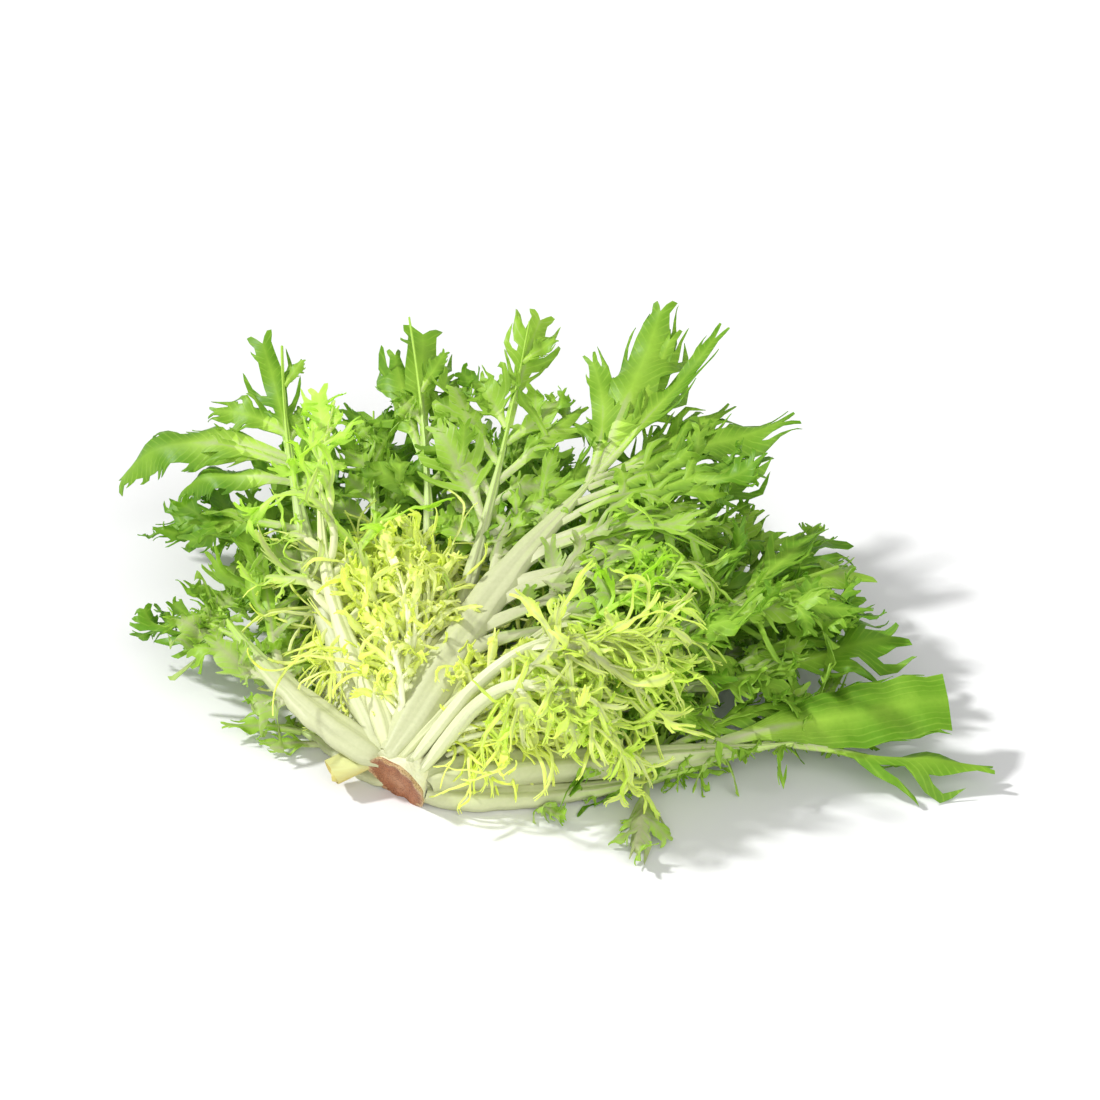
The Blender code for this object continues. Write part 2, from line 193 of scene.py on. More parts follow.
def crown_material():
    material, tree, shader = blank_material("crown", 0.5)
    place = tree.nodes.new("ShaderNodeTexCoord")
    turn = tree.nodes.new("ShaderNodeMapping")
    turn.vector_type = "TEXTURE"
    turn.inputs["Location"].default_value = CROWN_CENTRE
    turn.inputs["Rotation"].default_value = (0, -math.radians(CROWN_RISE), math.radians(CROWN_HEADING))
    split = tree.nodes.new("ShaderNodeSeparateXYZ")
    join_nodes(tree, (place.outputs["Object"], turn.inputs["Vector"]), (turn.outputs[0], split.inputs[0]))
    along, left, up = split.outputs
    ring = math_node(tree, "ADD", math_node(tree, "POWER", left, 2), math_node(tree, "POWER", up, 2))
    ring = math_node(tree, "MULTIPLY", math_node(tree, "SQRT", ring), 66)
    ragged = noise(tree, 900, 4)
    mottle = math_node(tree, "ADD", ring, math_node(tree, "MULTIPLY", ragged, 0.35))
    spots = ramp(tree, noise(tree, 2200, 2), CUT_SPOTS)
    face = mix_colour(tree, 0.85, ramp(tree, mottle, CUT_COLOURS), spots, "MULTIPLY")
    skin = ramp(tree, noise(tree, 260, 3), CROWN_SKIN)
    on_cut = math_node(tree, "LESS_THAN", along, CUT_SKIN)
    join_nodes(tree, (mix_colour(tree, on_cut, skin, face), shader.inputs["Base Color"]))
    roughen(tree, shader, ragged, 0.6, 0.6 * MM)
    return material


def single_out(obj):
    """Deselects everything, then selects this object and makes it the active one."""
    bpy.ops.object.select_all(action="DESELECT")
    obj.select_set(True)
    bpy.context.view_layer.objects.active = obj


def edit(obj):
    single_out(obj)
    bpy.ops.object.mode_set(mode="EDIT")
    return bmesh.from_edit_mesh(obj.data)


def select(bm, obj, chosen):
    """Selects the faces that pass the test and nothing else."""
    bpy.ops.mesh.select_mode(type="FACE")
    bpy.ops.mesh.select_all(action="DESELECT")
    for face in bm.faces:
        face.select_set(chosen(face))
    bm.select_flush_mode()
    bmesh.update_edit_mesh(obj.data)


def settle(obj):
    """Applies the object's place, so that it sits unturned at the origin."""
    single_out(obj)
    bpy.ops.object.transform_apply(location=True, rotation=True, scale=True)


bpy.ops.object.select_all(action="DESELECT")
bpy.ops.mesh.primitive_cylinder_add(
    vertices=64, radius=CROWN_RADIUS, depth=2 * CROWN_HALF, end_fill_type="NGON")
crown = bpy.context.object
crown.name = "cut_crown"
bm = edit(crown)
select(bm, crown, lambda face: face.normal.z > 0.9)
bpy.ops.transform.resize(value=(CROWN_TAPER, CROWN_TAPER, 1), center_override=(0, 0, CROWN_HALF))
select(bm, crown, lambda face: face.normal.z < -0.9)
for width, depth in CUT_RINGS:
    bpy.ops.mesh.inset(thickness=width * MM, depth=-depth * MM)
bpy.ops.mesh.select_all(action="SELECT")
bpy.ops.mesh.subdivide(number_cuts=1)
draw = random.Random("crown")
for vertex in bm.verts:
    turn = math.atan2(vertex.co.y, vertex.co.x)
    lobed = 1 + 0.035 * math.sin(3 * turn + 1) + 0.03 * math.sin(7 * turn)
    vertex.co.x *= lobed * 1.04
    vertex.co.y *= lobed
    if vertex.co.z < -5.5 * MM:
        saw_marks = 0.35 * math.sin(900 * vertex.co.x + 400 * vertex.co.y)
        vertex.co.z += (saw_marks + draw.uniform(-0.12, 0.12)) * MM
bmesh.update_edit_mesh(crown.data)
bpy.ops.object.mode_set(mode="OBJECT")
axis = Vector(direction(CROWN_HEADING, CROWN_RISE))
crown.rotation_euler = axis.to_track_quat("Z", "Y").to_euler()
crown.location = Vector(CROWN_CENTRE) + axis * (CROWN_HALF - CUT_BACK)
settle(crown)
for vertex in crown.data.vertices:
    vertex.co.z = max(vertex.co.z, 0)
bpy.ops.object.shade_smooth_by_angle(angle=math.radians(50))
crown.data.materials.append(crown_material())
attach(crown, "root")
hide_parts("crown")


# The cut stalk: the stub of a leaf that was sliced off beside the crown. It has dried to olive,
# it is darker and browner towards the bottom, and it has a rough slanted end.
STUB_START = np.array((-11.0, 9.0, 11.5)) * MM
STUB_END = np.array((-26.9, 1.4, 7.4)) * MM
STUB_HALF = 9 * MM
STUB_RADIUS = 6 * MM
STUB_FLATNESS = 0.55
STUB_COLOURS = ((0.35, (0.4, 0.26, 0.06)), (0.62, (0.5, 0.42, 0.1)), (0.95, (0.6, 0.62, 0.26)))


def stalk_material():
    material, tree, shader = blank_material("cut_stalk", 0.5)
    place = tree.nodes.new("ShaderNodeTexCoord")
    split = tree.nodes.new("ShaderNodeSeparateXYZ")
    stretch = tree.nodes.new("ShaderNodeMapping")
    stretch.inputs["Rotation"].default_value = (0, 0, math.radians(-25))
    stretch.inputs["Scale"].default_value = (80, 900, 900)
    join_nodes(
        tree,
        (place.outputs["Object"], split.inputs[0]),
        (place.outputs["Object"], stretch.inputs["Vector"]),
    )
    fibres = noise(tree, 1, 3, stretch.outputs[0])
    # Darker and browner towards the bottom, paler olive towards the top.
    height = math_node(tree, "MULTIPLY", split.outputs[2], 70)
    height = math_node(tree, "ADD", height, math_node(tree, "MULTIPLY", fibres, 0.3))
    join_nodes(tree, (ramp(tree, height, STUB_COLOURS), shader.inputs["Base Color"]))
    roughen(tree, shader, fibres, 0.4, 0.4 * MM)
    return material


bpy.ops.object.select_all(action="DESELECT")
bpy.ops.mesh.primitive_cylinder_add(
    vertices=32, radius=STUB_RADIUS, depth=2 * STUB_HALF, end_fill_type="NGON")
stalk = bpy.context.object
stalk.name = "cut_stalk_stub"
bm = edit(stalk)
bpy.ops.mesh.select_all(action="SELECT")
bpy.ops.transform.resize(value=(1, STUB_FLATNESS, 1), center_override=(0, 0, 0))
select(bm, stalk, lambda face: face.normal.z > 0.9)
bpy.ops.mesh.inset(thickness=0.8 * MM, depth=-0.5 * MM)
bpy.ops.mesh.inset(thickness=1.0 * MM, depth=0.3 * MM)
bpy.ops.transform.rotate(value=0.4, orient_axis="Y", center_override=(0, 0, STUB_HALF))
bpy.ops.mesh.select_all(action="SELECT")
bpy.ops.mesh.subdivide(number_cuts=2)
bpy.ops.object.mode_set(mode="OBJECT")
lean = Vector(STUB_END - STUB_START).normalized()
stalk.rotation_euler = lean.to_track_quat("Z", "Y").to_euler()
stalk.location = Vector(STUB_START + STUB_END) / 2
settle(stalk)
for vertex in stalk.data.vertices:
    vertex.co.z = max(vertex.co.z, 0.2 * MM) + 0.15 * MM * math.sin(2500 * vertex.co.x)
bpy.ops.object.shade_smooth_by_angle(angle=math.radians(50))
stalk.data.materials.append(stalk_material())
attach(stalk, "root")
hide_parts("cut_stalk")


# Fronds: the side branches of a leaf. Each is a flat ribbon that runs from a white,
# fleshy stalk into a thin blade with sharp teeth, and it bears smaller ribbons in turn.
# The ribbons are modelled flat a few times, one long and two wide, and bent in copies.
TOOTH_JOINTS = ((0.45, 0.3, 0.8), (0.8, 0.3, 0.5))
LOBE_JOINTS = ((0.5, 0.5, 0.95), (1.1, 0.6, 0.9), (1.5, 0.5, 0.9), (0.7, 0.2, 0.6))
FORK_JOINTS = ((0.8, 0.4, 0.9), (0.6, 0.3, 0.6))
NEAR = 1e-4


def smooth(x, low, high):
    """0 below low, 1 above high, and an even curve between them."""
    x = np.clip((x - low) / (high - low), 0, 1)
    return x * x * (3 - 2 * x)


def pull(obj, chosen, joints, step, reach, forking=False):
    """Extrudes the edges that pass the test, joint by joint, each one narrower."""
    bm = bmesh.from_edit_mesh(obj.data)
    bpy.ops.mesh.select_all(action="DESELECT")
    for edge in bm.edges:
        if all(chosen(vertex.co) for vertex in edge.verts):
            edge.select_set(True)
    bmesh.update_edit_mesh(obj.data)
    for forward, outward, narrow in joints:
        move = (forward * step, outward * reach, 0)
        bpy.ops.mesh.extrude_edges_move(TRANSFORM_OT_translate={"value": move})
        bm = bmesh.from_edit_mesh(obj.data)
        end = [vertex.co for vertex in bm.verts if vertex.select]
        size = (1, narrow, 1) if forking else (narrow, 1, 1)
        bpy.ops.transform.resize(value=size, center_override=sum(end, Vector()) / len(end))


def flat_ribbon(name, seed, rings, first, chance, tooth, lobes=0, forked=True):
    """Models a ribbon along +X with teeth (one face each) and lobes (two faces each)."""
    draw = random.Random(f"{name} {seed}")
    step = 1 / rings
    bpy.ops.object.select_all(action="DESELECT")
    bpy.ops.mesh.primitive_grid_add(x_subdivisions=rings, y_subdivisions=2, size=2, location=(0, 0, 0))
    obj = bpy.context.object
    edit(obj)
    bpy.ops.mesh.select_all(action="SELECT")
    bpy.ops.transform.resize(value=(0.5, 1, 1), center_override=(-1, 0, 0))
    bpy.ops.transform.translate(value=(1, 0, 0))
    bpy.ops.mesh.select_mode(type="EDGE")

    def pull_side(side, ring, count, joints, size):
        low, high = ring * step - NEAR, (ring + count) * step + NEAR
        pull(obj, lambda co: abs(co.y - side) < NEAR and low < co.x < high, joints, step, size * side)

    for side in (-1, 1):
        ring = int(first * rings) + draw.choice((0, 1))
        while ring < rings - 1:
            size = tooth * draw.uniform(0.6, 1.3)
            if lobes and draw.random() < lobes and ring < rings - 2:
                pull_side(side, ring, 2, LOBE_JOINTS, size)
                ring += 2
            elif draw.random() < chance:
                pull_side(side, ring, 1, TOOTH_JOINTS, size)
            ring += draw.choice((1, 1, 2))
    for side in (-1, 1) if forked else ():
        pull(
            obj, lambda co: co.x > 1 - NEAR and abs(co.y) < 1 + NEAR and co.y * side > -NEAR,
            FORK_JOINTS, step, side, forking=True)
    bm = bmesh.from_edit_mesh(obj.data)
    bmesh.ops.remove_doubles(bm, verts=bm.verts[:], dist=1e-5)
    bmesh.ops.triangulate(bm, faces=bm.faces[:])
    bmesh.update_edit_mesh(obj.data)
    bpy.ops.object.mode_set(mode="OBJECT")
    points = np.array([vertex.co[:2] for vertex in obj.data.vertices])
    faces = np.array([polygon.vertices for polygon in obj.data.polygons])
    a, b, c = (points[faces[:, i]] for i in range(3))
    turned = (b[:, 0] - a[:, 0]) * (c[:, 1] - a[:, 1]) < (b[:, 1] - a[:, 1]) * (c[:, 0] - a[:, 0])
    faces[turned] = faces[turned][:, ::-1]
    bpy.data.meshes.remove(obj.data)
    return points, faces


STEM = [flat_ribbon("stem", s, 12, 0.5, 0.5, 1.1) for s in (1, 2, 3)]
TWIG = [flat_ribbon("twig", s, 7, 0.45, 0.65, 1.15) for s in (4, 5, 6, 7, 8)]
THREAD = [flat_ribbon("thread", s, 6, 0.4, 0.3, 1.3) for s in (9, 10, 11)]
HAIR = [flat_ribbon("hair", s, 8, 0.7, 0.25, 1.1) for s in (31, 32, 33)]
BLADE = [flat_ribbon("blade", s, 20, 0.15, 0.45, 0.5, 0.45) for s in (12, 13, 14, 15)]
ANTLER = [flat_ribbon("antler", s, 15, 0.28, 0.4, 0.8, 0.65) for s in (20, 21, 22, 23, 24)]
FAN = [flat_ribbon("fan", 16, 18, 0.3, 0.45, 0.16, 0.0, False)]
SHAPES = {"antler": ANTLER, "blade": BLADE, "fan": FAN}


class Ribbon:
    """The bent course of one ribbon: where it lies, and which way it faces, along it."""

    POINTS = 27
    END = 1.3

    def __init__(
            self, origin, frame, length, side, angle, bend, lift, curl, twist, wave, phase, tilt=0):
        along, across, normal = frame
        across = across * side
        self.length, self.side = length, side
        self.s = s = np.linspace(0, self.END, self.POINTS)
        a = np.radians(angle - bend * s)
        waves = wave * np.sin(2 * math.pi * (1.6 * s + phase)) * np.minimum(1, 3 * s)
        up = np.radians(lift + curl * s**1.5 + waves)
        turn = np.radians(tilt + twist * s)
        way = np.outer(np.cos(a) * np.cos(up), along) + np.outer(np.sin(a) * np.cos(up), across)
        self.way = way = way + np.outer(np.sin(up), normal)
        lateral = np.outer(-np.sin(a), along) + np.outer(np.cos(a), across)
        over = np.cross(way, lateral) * side
        c, d = np.cos(turn)[:, None], np.sin(turn)[:, None]
        self.lateral, self.over = lateral * c + over * d, over * c - lateral * d
        steps = (way[1:] + way[:-1]) / 2 * (s[1] - s[0]) * length
        self.spine = origin + np.vstack([np.zeros(3), np.cumsum(steps, axis=0)])

    def pick(self, rows, x):
        return np.stack([np.interp(x, self.s, rows[:, i]) for i in range(3)], axis=1)

    def at(self, x):
        """The point and the frame at x, for a smaller ribbon to start from."""
        i = min(self.POINTS - 1, int(round(x / 0.05)))
        return self.spine[i], (self.way[i], self.lateral[i] * self.side, self.over[i])


def lay(ribbon, pattern, foot, blade, swell, colours, thick, cup, ruffle, waves, phase, end=0.6):
    """One flat ribbon bent to its course: points, faces, green, edge, thickness and vein."""
    flat, faces = pattern
    x, y = flat.T
    fold = np.abs(y)
    edge = np.clip(fold, 0, 1)
    wide = foot + (blade - foot) * smooth(x, swell - 0.25, swell + 0.2)
    wide = wide * (1 - end * smooth(x, 0.7, 1.05))
    reach = y * wide
    crimp = ruffle * fold * np.sin(2 * math.pi * (waves * x + phase + (y > 0) * 0.37))
    rise = wide * (cup * fold**2 + crimp * smooth(x, 0.1, 0.5))
    points = ribbon.pick(ribbon.spine, x) + ribbon.pick(ribbon.lateral, x) * reach[:, None]
    points = points + ribbon.pick(ribbon.over, x) * rise[:, None]
    greening = smooth(x + 0.25 * fold * smooth(x, 0.1, 0.4), 0.05, 0.85)
    green = colours[0] + (colours[1] - colours[0]) * greening
    height = (thick[0] + (thick[1] - thick[0]) * smooth(x, 0, 0.6)) * (1 - 0.5 * edge)
    if pattern is FAN[0]:
        vein = y * 5
    elif blade > 2.5 * MM:
        vein = (x * ribbon.length - 1.1 * np.abs(reach)) / (3.4 * MM)
    else:
        vein = np.full(len(x), 0.5)
    if ribbon.side > 0:
        faces = faces[:, ::-1]
    return points, faces, green, edge, np.maximum(height, 0.35 * MM), vein


# Leaf tissue: smooth and slightly waxy, with light shining through the thin blade. It
# is white at the foot of the rib, then lime, then green towards the tips and margins,
# and fine pale veins run out from the middle of each blade.
TISSUE_INPUTS = (
    ("Green", "NodeSocketFloat"),
    ("Edge", "NodeSocketFloat"),
    ("Vein", "NodeSocketFloat"),
    ("White", "NodeSocketColor"),
    ("Light", "NodeSocketColor"),
    ("Deep", "NodeSocketColor"),
)
TISSUE_OUTPUTS = (
    ("Color", "NodeSocketColor"),
    ("Glow", "NodeSocketColor"),
    ("Roughness", "NodeSocketFloat"),
    ("Height", "NodeSocketFloat"),
)
TISSUE_GRAIN = ((0.3, (0.95, 0.96, 0.93)), (0.7, (1.03, 1.02, 1.02)))
GLOW_TINT = (1.1, 1.12, 0.55)


def leaf_tissue_group():
    group = bpy.data.node_groups.new("leaf tissue", "ShaderNodeTree")
    for way, sockets in (("INPUT", TISSUE_INPUTS), ("OUTPUT", TISSUE_OUTPUTS)):
        for name, kind in sockets:
            group.interface.new_socket(name, in_out=way, socket_type=kind)
    start = group.nodes.new("NodeGroupInput").outputs
    end = group.nodes.new("NodeGroupOutput").inputs
    fine = noise(group, 700, 3)
    patches = math_node(group, "SUBTRACT", noise(group, 55, 4), 0.5)
    patches = math_node(group, "MULTIPLY", math_node(group, "MULTIPLY", patches, 1.1), start["Green"])
    green = math_node(group, "ADD", start["Green"], patches, clamp=True)
    inner = math_node(group, "SUBTRACT", 1.0, math_node(group, "SMOOTH_MIN", start["Edge"], 1.0), clamp=True)
    midrib = math_node(group, "POWER", inner, 2.2)
    lines = math_node(group, "COSINE", math_node(group, "MULTIPLY", start["Vein"], 2 * math.pi))
    lines = math_node(group, "ADD", math_node(group, "MULTIPLY", lines, 0.5), 0.5)
    lines = math_node(group, "MULTIPLY", math_node(group, "POWER", lines, 7), 0.8)
    veins = math_node(group, "MAXIMUM", midrib, lines)
    green = math_node(group, "SUBTRACT", green, math_node(group, "MULTIPLY", veins, 0.26), clamp=True)
    early = math_node(group, "MULTIPLY", green, 2.4, clamp=True)
    late = math_node(group, "MULTIPLY", math_node(group, "SUBTRACT", green, 0.38), 1.6, clamp=True)
    colour = mix_colour(group, early, start["White"], start["Light"])
    colour = mix_colour(group, late, colour, start["Deep"])
    colour = mix_colour(group, 1.0, colour, ramp(group, fine, TISSUE_GRAIN), "MULTIPLY")
    glow = mix_colour(group, 1.0, colour, GLOW_TINT, "MULTIPLY")
    rough = math_node(group, "ADD", 0.33, math_node(group, "MULTIPLY", fine, 0.22))
    height = math_node(group, "MULTIPLY", fine, 0.5)
    height = math_node(group, "ADD", height, math_node(group, "MULTIPLY", veins, 0.6))
    for result, socket in ((colour, "Color"), (glow, "Glow"), (rough, "Roughness"), (height, "Height")):
        group.links.new(result, end[socket])
    return group


LEAF_TISSUE = leaf_tissue_group()


def leaf_material(name, white, light, deep, shine_through=0.0):
    material, tree, shader = blank_material(name, 0.4)
    tissue = tree.nodes.new("ShaderNodeGroup")
    tissue.node_tree = LEAF_TISSUE
    for attribute, socket in (("green", "Green"), ("edge", "Edge"), ("vein", "Vein")):
        reader = tree.nodes.new("ShaderNodeAttribute")
        reader.attribute_name = attribute
        tree.links.new(reader.outputs["Fac"], tissue.inputs[socket])
    for socket, colour in (("White", white), ("Light", light), ("Deep", deep)):
        tissue.inputs[socket].default_value = (*colour, 1)
    shader.inputs["Specular IOR Level"].default_value = 0.3
    join_nodes(
        tree,
        (tissue.outputs["Color"], shader.inputs["Base Color"]),
        (tissue.outputs["Roughness"], shader.inputs["Roughness"]),
    )
    roughen(tree, shader, tissue.outputs["Height"], 0.35, 0.35 * MM)
    if not shine_through:
        return material
    through = tree.nodes.new("ShaderNodeBsdfTranslucent")
    both = tree.nodes.new("ShaderNodeMixShader")
    both.inputs[0].default_value = shine_through
    output = tree.nodes["Material Output"]
    join_nodes(
        tree,
        (tissue.outputs["Glow"], through.inputs["Color"]),
        (shader.outputs[0], both.inputs[1]),
        (through.outputs[0], both.inputs[2]),
        (both.outputs[0], output.inputs["Surface"]),
    )
    return material


def leaf_materials(name, white, light, deep, shine_through):
    """The flesh of a leaf's rib, and its thin blade."""
    return [
        leaf_material(name + "_rib", white, light, deep),
        leaf_material(name, white, light, deep, shine_through),
    ]


# The broad middle leaf: the largest one, lying over the heart. Its thick, celery-like rib
# throws white branches to the right at sharp angles and runs out into toothed blades.
# The rib is a closed, ridged bar, and its branches are ribbons bent along their courses.
#
# How a kind of leaf grows, in millimetres and degrees. Rib: thickness, and where along it
# the green begins and would be full. Fronds: length, angle, the first place and the step
# along the rib, width at the foot and in the blade, lift, curl, and the share of plain
# stems. Twigs on them: length beside the frond's, gap, width, sway and curl. End blade:
# its part of the leaf and its width. Low and high: how green the tips get.
STYLES = {
    "outer": dict(
        slot="outer_leaf", rib_thick=3.8, rib_green=(0.22, 1.15), rib_grid=(44, 28),
        lobe=44, angle=48, first=0.2, step=0.036, foot=2.0, blade=4.3, lift=16, curl=45, stems=0.35,
        twig=0.34, gap=6.2, twig_blade=2.7, sway=50, twig_curl=60, tip=0.3, tip_blade=6.0,
        low=0.45, high=1.0, frond_shapes=STEM, twig_shapes=TWIG, tip_shapes=ANTLER),
}
MATERIALS = {
    "outer": leaf_materials(
        "outer_leaf", (0.53, 0.555, 0.33), (0.43, 0.68, 0.075), (0.155, 0.37, 0.016), 0.34),
}
UP = np.array((0.0, 0.0, 1.0))
SEAT_RADIUS = 15.5 * MM
FOOT_BACK = CUT_BACK - 4.6 * MM
FOOT_OUT = 9.2 * MM
FLOOR_GAP = 0.3 * MM
MOST_THICK = 2.6 * MM
THIN_BLADE = 0.95 * MM
THICK_LEVELS = 24


def leaf(name, kind, **values):
    """A leaf's values. Its course: the heading, rise and reach of the line from root to
    tip, how far the rib arches up, sways aside, drifts aside late and drops at the tip,
    the roll of the blade, and the seat round the crown (heading and height). Its rib:
    width, how stout, and until where it runs. Its fronds: the length of those on the left
    and right beside the usual, where the first is, how sparse they are, how green, and
    the chosen ones. Its end blade: part of the leaf, half width, curl and twist."""
    usual = dict(
        arch=0, sway=0, late=0, drop=0, roll=0, seat=None, stout=1, until=1, sides=(1, 1), first=None,
        sparse=1, green=None, palette=kind, fronds=(), tip=None)
    return dict(usual, name=name, kind=kind, **values)


def frond(t, side, angle, length, blade, bend, lift, curl, **more):
    """One chosen frond: where it leaves the rib, its side (1 is right), and its bends."""
    return dict(
        t=t, side=side, angle=angle, length=length, blade=blade, bend=bend, lift=lift, curl=curl, **more)


def unit(v):
    return v / np.linalg.norm(v)


class Rib:
    """The curve that a leaf's rib follows from the rim of the cut, and its frame."""

    def __init__(self, leaf, root=None):
        self.leaf, self.style, self.foot = leaf, STYLES[leaf["kind"]], None
        if root is None:
            seat = direction(*leaf["seat"])
            root = CROWN_CENTRE + seat * SEAT_RADIUS
            axis = direction(CROWN_HEADING, CROWN_RISE)
            out = unit(seat - axis * seat.dot(axis))
            self.foot = CROWN_CENTRE - axis * FOOT_BACK + out * FOOT_OUT
        self.root = root
        self.chord = direction(leaf["heading"], leaf["rise"]) * leaf["reach"] * MM
        self.side = direction(leaf["heading"] + 90, 0)

    def thick(self, t):
        growth = 0.55 + 0.45 * smooth(t, -0.1, 0.1)
        return (self.style["rib_thick"] * self.leaf["stout"] * (1 - t) * growth + 0.8 * abs(t)) * MM

    def point(self, t):
        leaf = self.leaf
        bow = 4 * t * (1 - t)
        aside = leaf["sway"] * bow + leaf["late"] * smooth(t, 0.2, 0.7)
        p = self.root + self.chord * t - self.side * aside * MM
        p = p + UP * (leaf["arch"] * bow - leaf["drop"] * t**3) * MM
        if self.foot is not None:
            p = self.foot + (p - self.foot) * smooth(t, -0.12, 0.13)
        p[2] = max(p[2], self.thick(t) / 2 + FLOOR_GAP)
        return p

    def frame(self, t):
        along = unit(self.point(t + 0.02) - self.point(t - 0.02))
        normal = unit(UP - along * along[2])
        across = np.cross(along, normal)
        roll = math.radians(self.leaf["roll"]) * smooth(t, 0.1, 0.6)
        across = across * math.cos(roll) + normal * math.sin(roll)
        return along, across, np.cross(across, along)

    def ending(self, t):
        """A rib that ends in blades runs thin where they begin."""
        until = self.leaf["until"]
        return 1 - 0.75 * smooth(t, until - 0.25, until) if until < 1 else 1

    def half_width(self, t):
        growth = 0.5 + 0.5 * smooth(t, -0.1, 0.1)
        return self.leaf["rib"] / 2 * growth * (1 - 0.9 * smooth(t, 0.05, 0.95)) * self.ending(t) * MM

    def green(self, t):
        return float(0.62 * smooth(t, *self.style["rib_green"]))


def rib_mesh(rib):
    """The rib as a closed, tapering bar: flatter above, ridged, and round below."""
    rings, sides = rib.style["rib_grid"]
    points, green, edge, vein, faces = [], [], [], [], []
    for i in range(rings + 1):
        t = i / rings if rib.foot is None else -0.1 + (rib.leaf["until"] + 0.1) * i / rings
        along, across, normal = rib.frame(t)
        middle, wide, high = rib.point(t), rib.half_width(t), rib.thick(t) * 0.85 * rib.ending(t)
        wide = wide * (1 + 0.07 * math.sin(31 * t + rib.leaf["heading"]) + 0.05 * math.sin(67 * t))
        for j in range(sides):
            a = 2 * math.pi * j / sides
            x, z = math.cos(a), math.sin(a)
            z = z * (0.9 if z > 0 else 1.0) * (1 + 0.13 * math.cos(7 * a + 2 * t) + 0.05 * math.sin(4 * a))
            point = middle + across * x * wide + normal * z * high
            point[2] = max(point[2], 0.1 * MM)
            points.append(point)
            green.append(rib.green(t))
            edge.append(0.6 + 0.4 * abs(x))
            vein.append(9 * j / sides)
    for i in range(rings):
        for j in range(sides):
            k = (j + 1) % sides
            faces.append((i * sides + j, i * sides + k, (i + 1) * sides + k, (i + 1) * sides + j))
    faces.append(tuple(range(sides))[::-1])
    faces.append(tuple(rings * sides + j for j in range(sides)))
    return np.array(points), faces, np.array(green), np.array(edge), np.array(vein)


def side_fronds(leaf, style, draw):
    """The chosen fronds, and random ones left and right by turns where none was chosen."""
    fronds = list(leaf["fronds"])
    t, side = leaf["first"] or style["first"], draw.choice((-1, 1))
    broad_tip = leaf["tip"] and leaf["tip"][1] > 4
    last = min(leaf["until"], 0.78 if broad_tip else 0.93)
    while t < last:
        size = 0.4 + 0.6 * math.sin(math.pi * smooth(t, -0.1, 1.15) ** 0.85)
        size = size * (1 - 0.35 * smooth(t, 0.6, 0.95))
        length = style["lobe"] * size * leaf["sides"][side > 0] * draw.uniform(0.6, 1.35)
        length = length * min(1, leaf["reach"] / 120 + 0.15)
        if all(abs(f["t"] - t) > 0.03 or f["side"] != side for f in leaf["fronds"]):
            fronds.append(frond(
                t, side, style["angle"] - 16 * t + draw.uniform(-12, 12), length,
                style["blade"] * draw.uniform(0.7, 1.4), draw.uniform(-25, 30),
                draw.uniform(-0.8, 1) * style["lift"], draw.uniform(-1.3, 0.8) * style["curl"]))
        t += style["step"] * leaf["sparse"] * draw.uniform(0.6, 1.4)
        side = -side
    return fronds


def twigs(ribbon, style, length, first, last, green, draw, scale=1.0):
    """Small ribbons left and right by turns along a frond or an end blade."""
    sheets = []
    s, side = first, draw.choice((-1, 1))
    while s < last:
        origin, frame = ribbon.at(s)
        swell = 0.55 + 0.6 * math.sin(math.pi * min(1, (s - first) / (1.02 - first)))
        size = style["twig"] * length * draw.uniform(0.55, 1.25) * swell
        size = min(size, 24 * MM) * scale
        twig = Ribbon(
            origin, frame, size, side, draw.uniform(28, 62), draw.uniform(-1, 1.6) * style["sway"],
            draw.uniform(-25, 25), draw.uniform(-1.2, 0.8) * style["twig_curl"], draw.uniform(-60, 60),
            18, draw.random())
        here = float(green[0] + (green[1] - green[0]) * smooth(s, 0.05, 0.85))
        wide = style["twig_blade"] * draw.uniform(0.65, 1.4) * MM
        sheets.append(lay(
            twig, draw.choice(style["twig_shapes"]), wide * 0.5, wide, 0.6,
            (here, min(1, here + draw.uniform(0.05, 0.35))), (0.85 * MM, 0.4 * MM),
            draw.uniform(-0.3, 0.7), draw.uniform(0.1, 0.5), draw.uniform(1.0, 2.2), draw.random(), 0.35))
        s += style["gap"] * MM / length * draw.uniform(0.6, 1.4)
        side = -side
    return sheets


def end_blade(rib, low, high, draw):
    """The toothed blade that the rib's last part lies in."""
    leaf, style = rib.leaf, rib.style
    part, blade, *bends = leaf["tip"] or (style["tip"], style["tip_blade"])
    curl, twist = bends or (draw.uniform(-25, 10), draw.uniform(-20, 20))
    if not blade:
        return []
    start = 1 - part
    green = (rib.green(start), max(draw.uniform(low, high), rib.green(1)))
    length = (part + 0.03) * leaf["reach"] * MM
    ribbon = Ribbon(
        rib.point(start), rib.frame(start), length, 1, 0, draw.uniform(-8, 8), 0, curl, twist, 5,
        draw.random())
    sheets = [lay(
        ribbon, draw.choice(style["tip_shapes"]), 1.6 * MM, blade * MM, 0.5, green,
        (1.6 * MM, 0.5 * MM), 0.12, 0.3, 2.5, draw.random(), 0.2)]
    if not leaf["tip"] or blade < 4:
        sheets += twigs(ribbon, style, length, 0.25, 0.95, green, draw, 0.8)
    return sheets


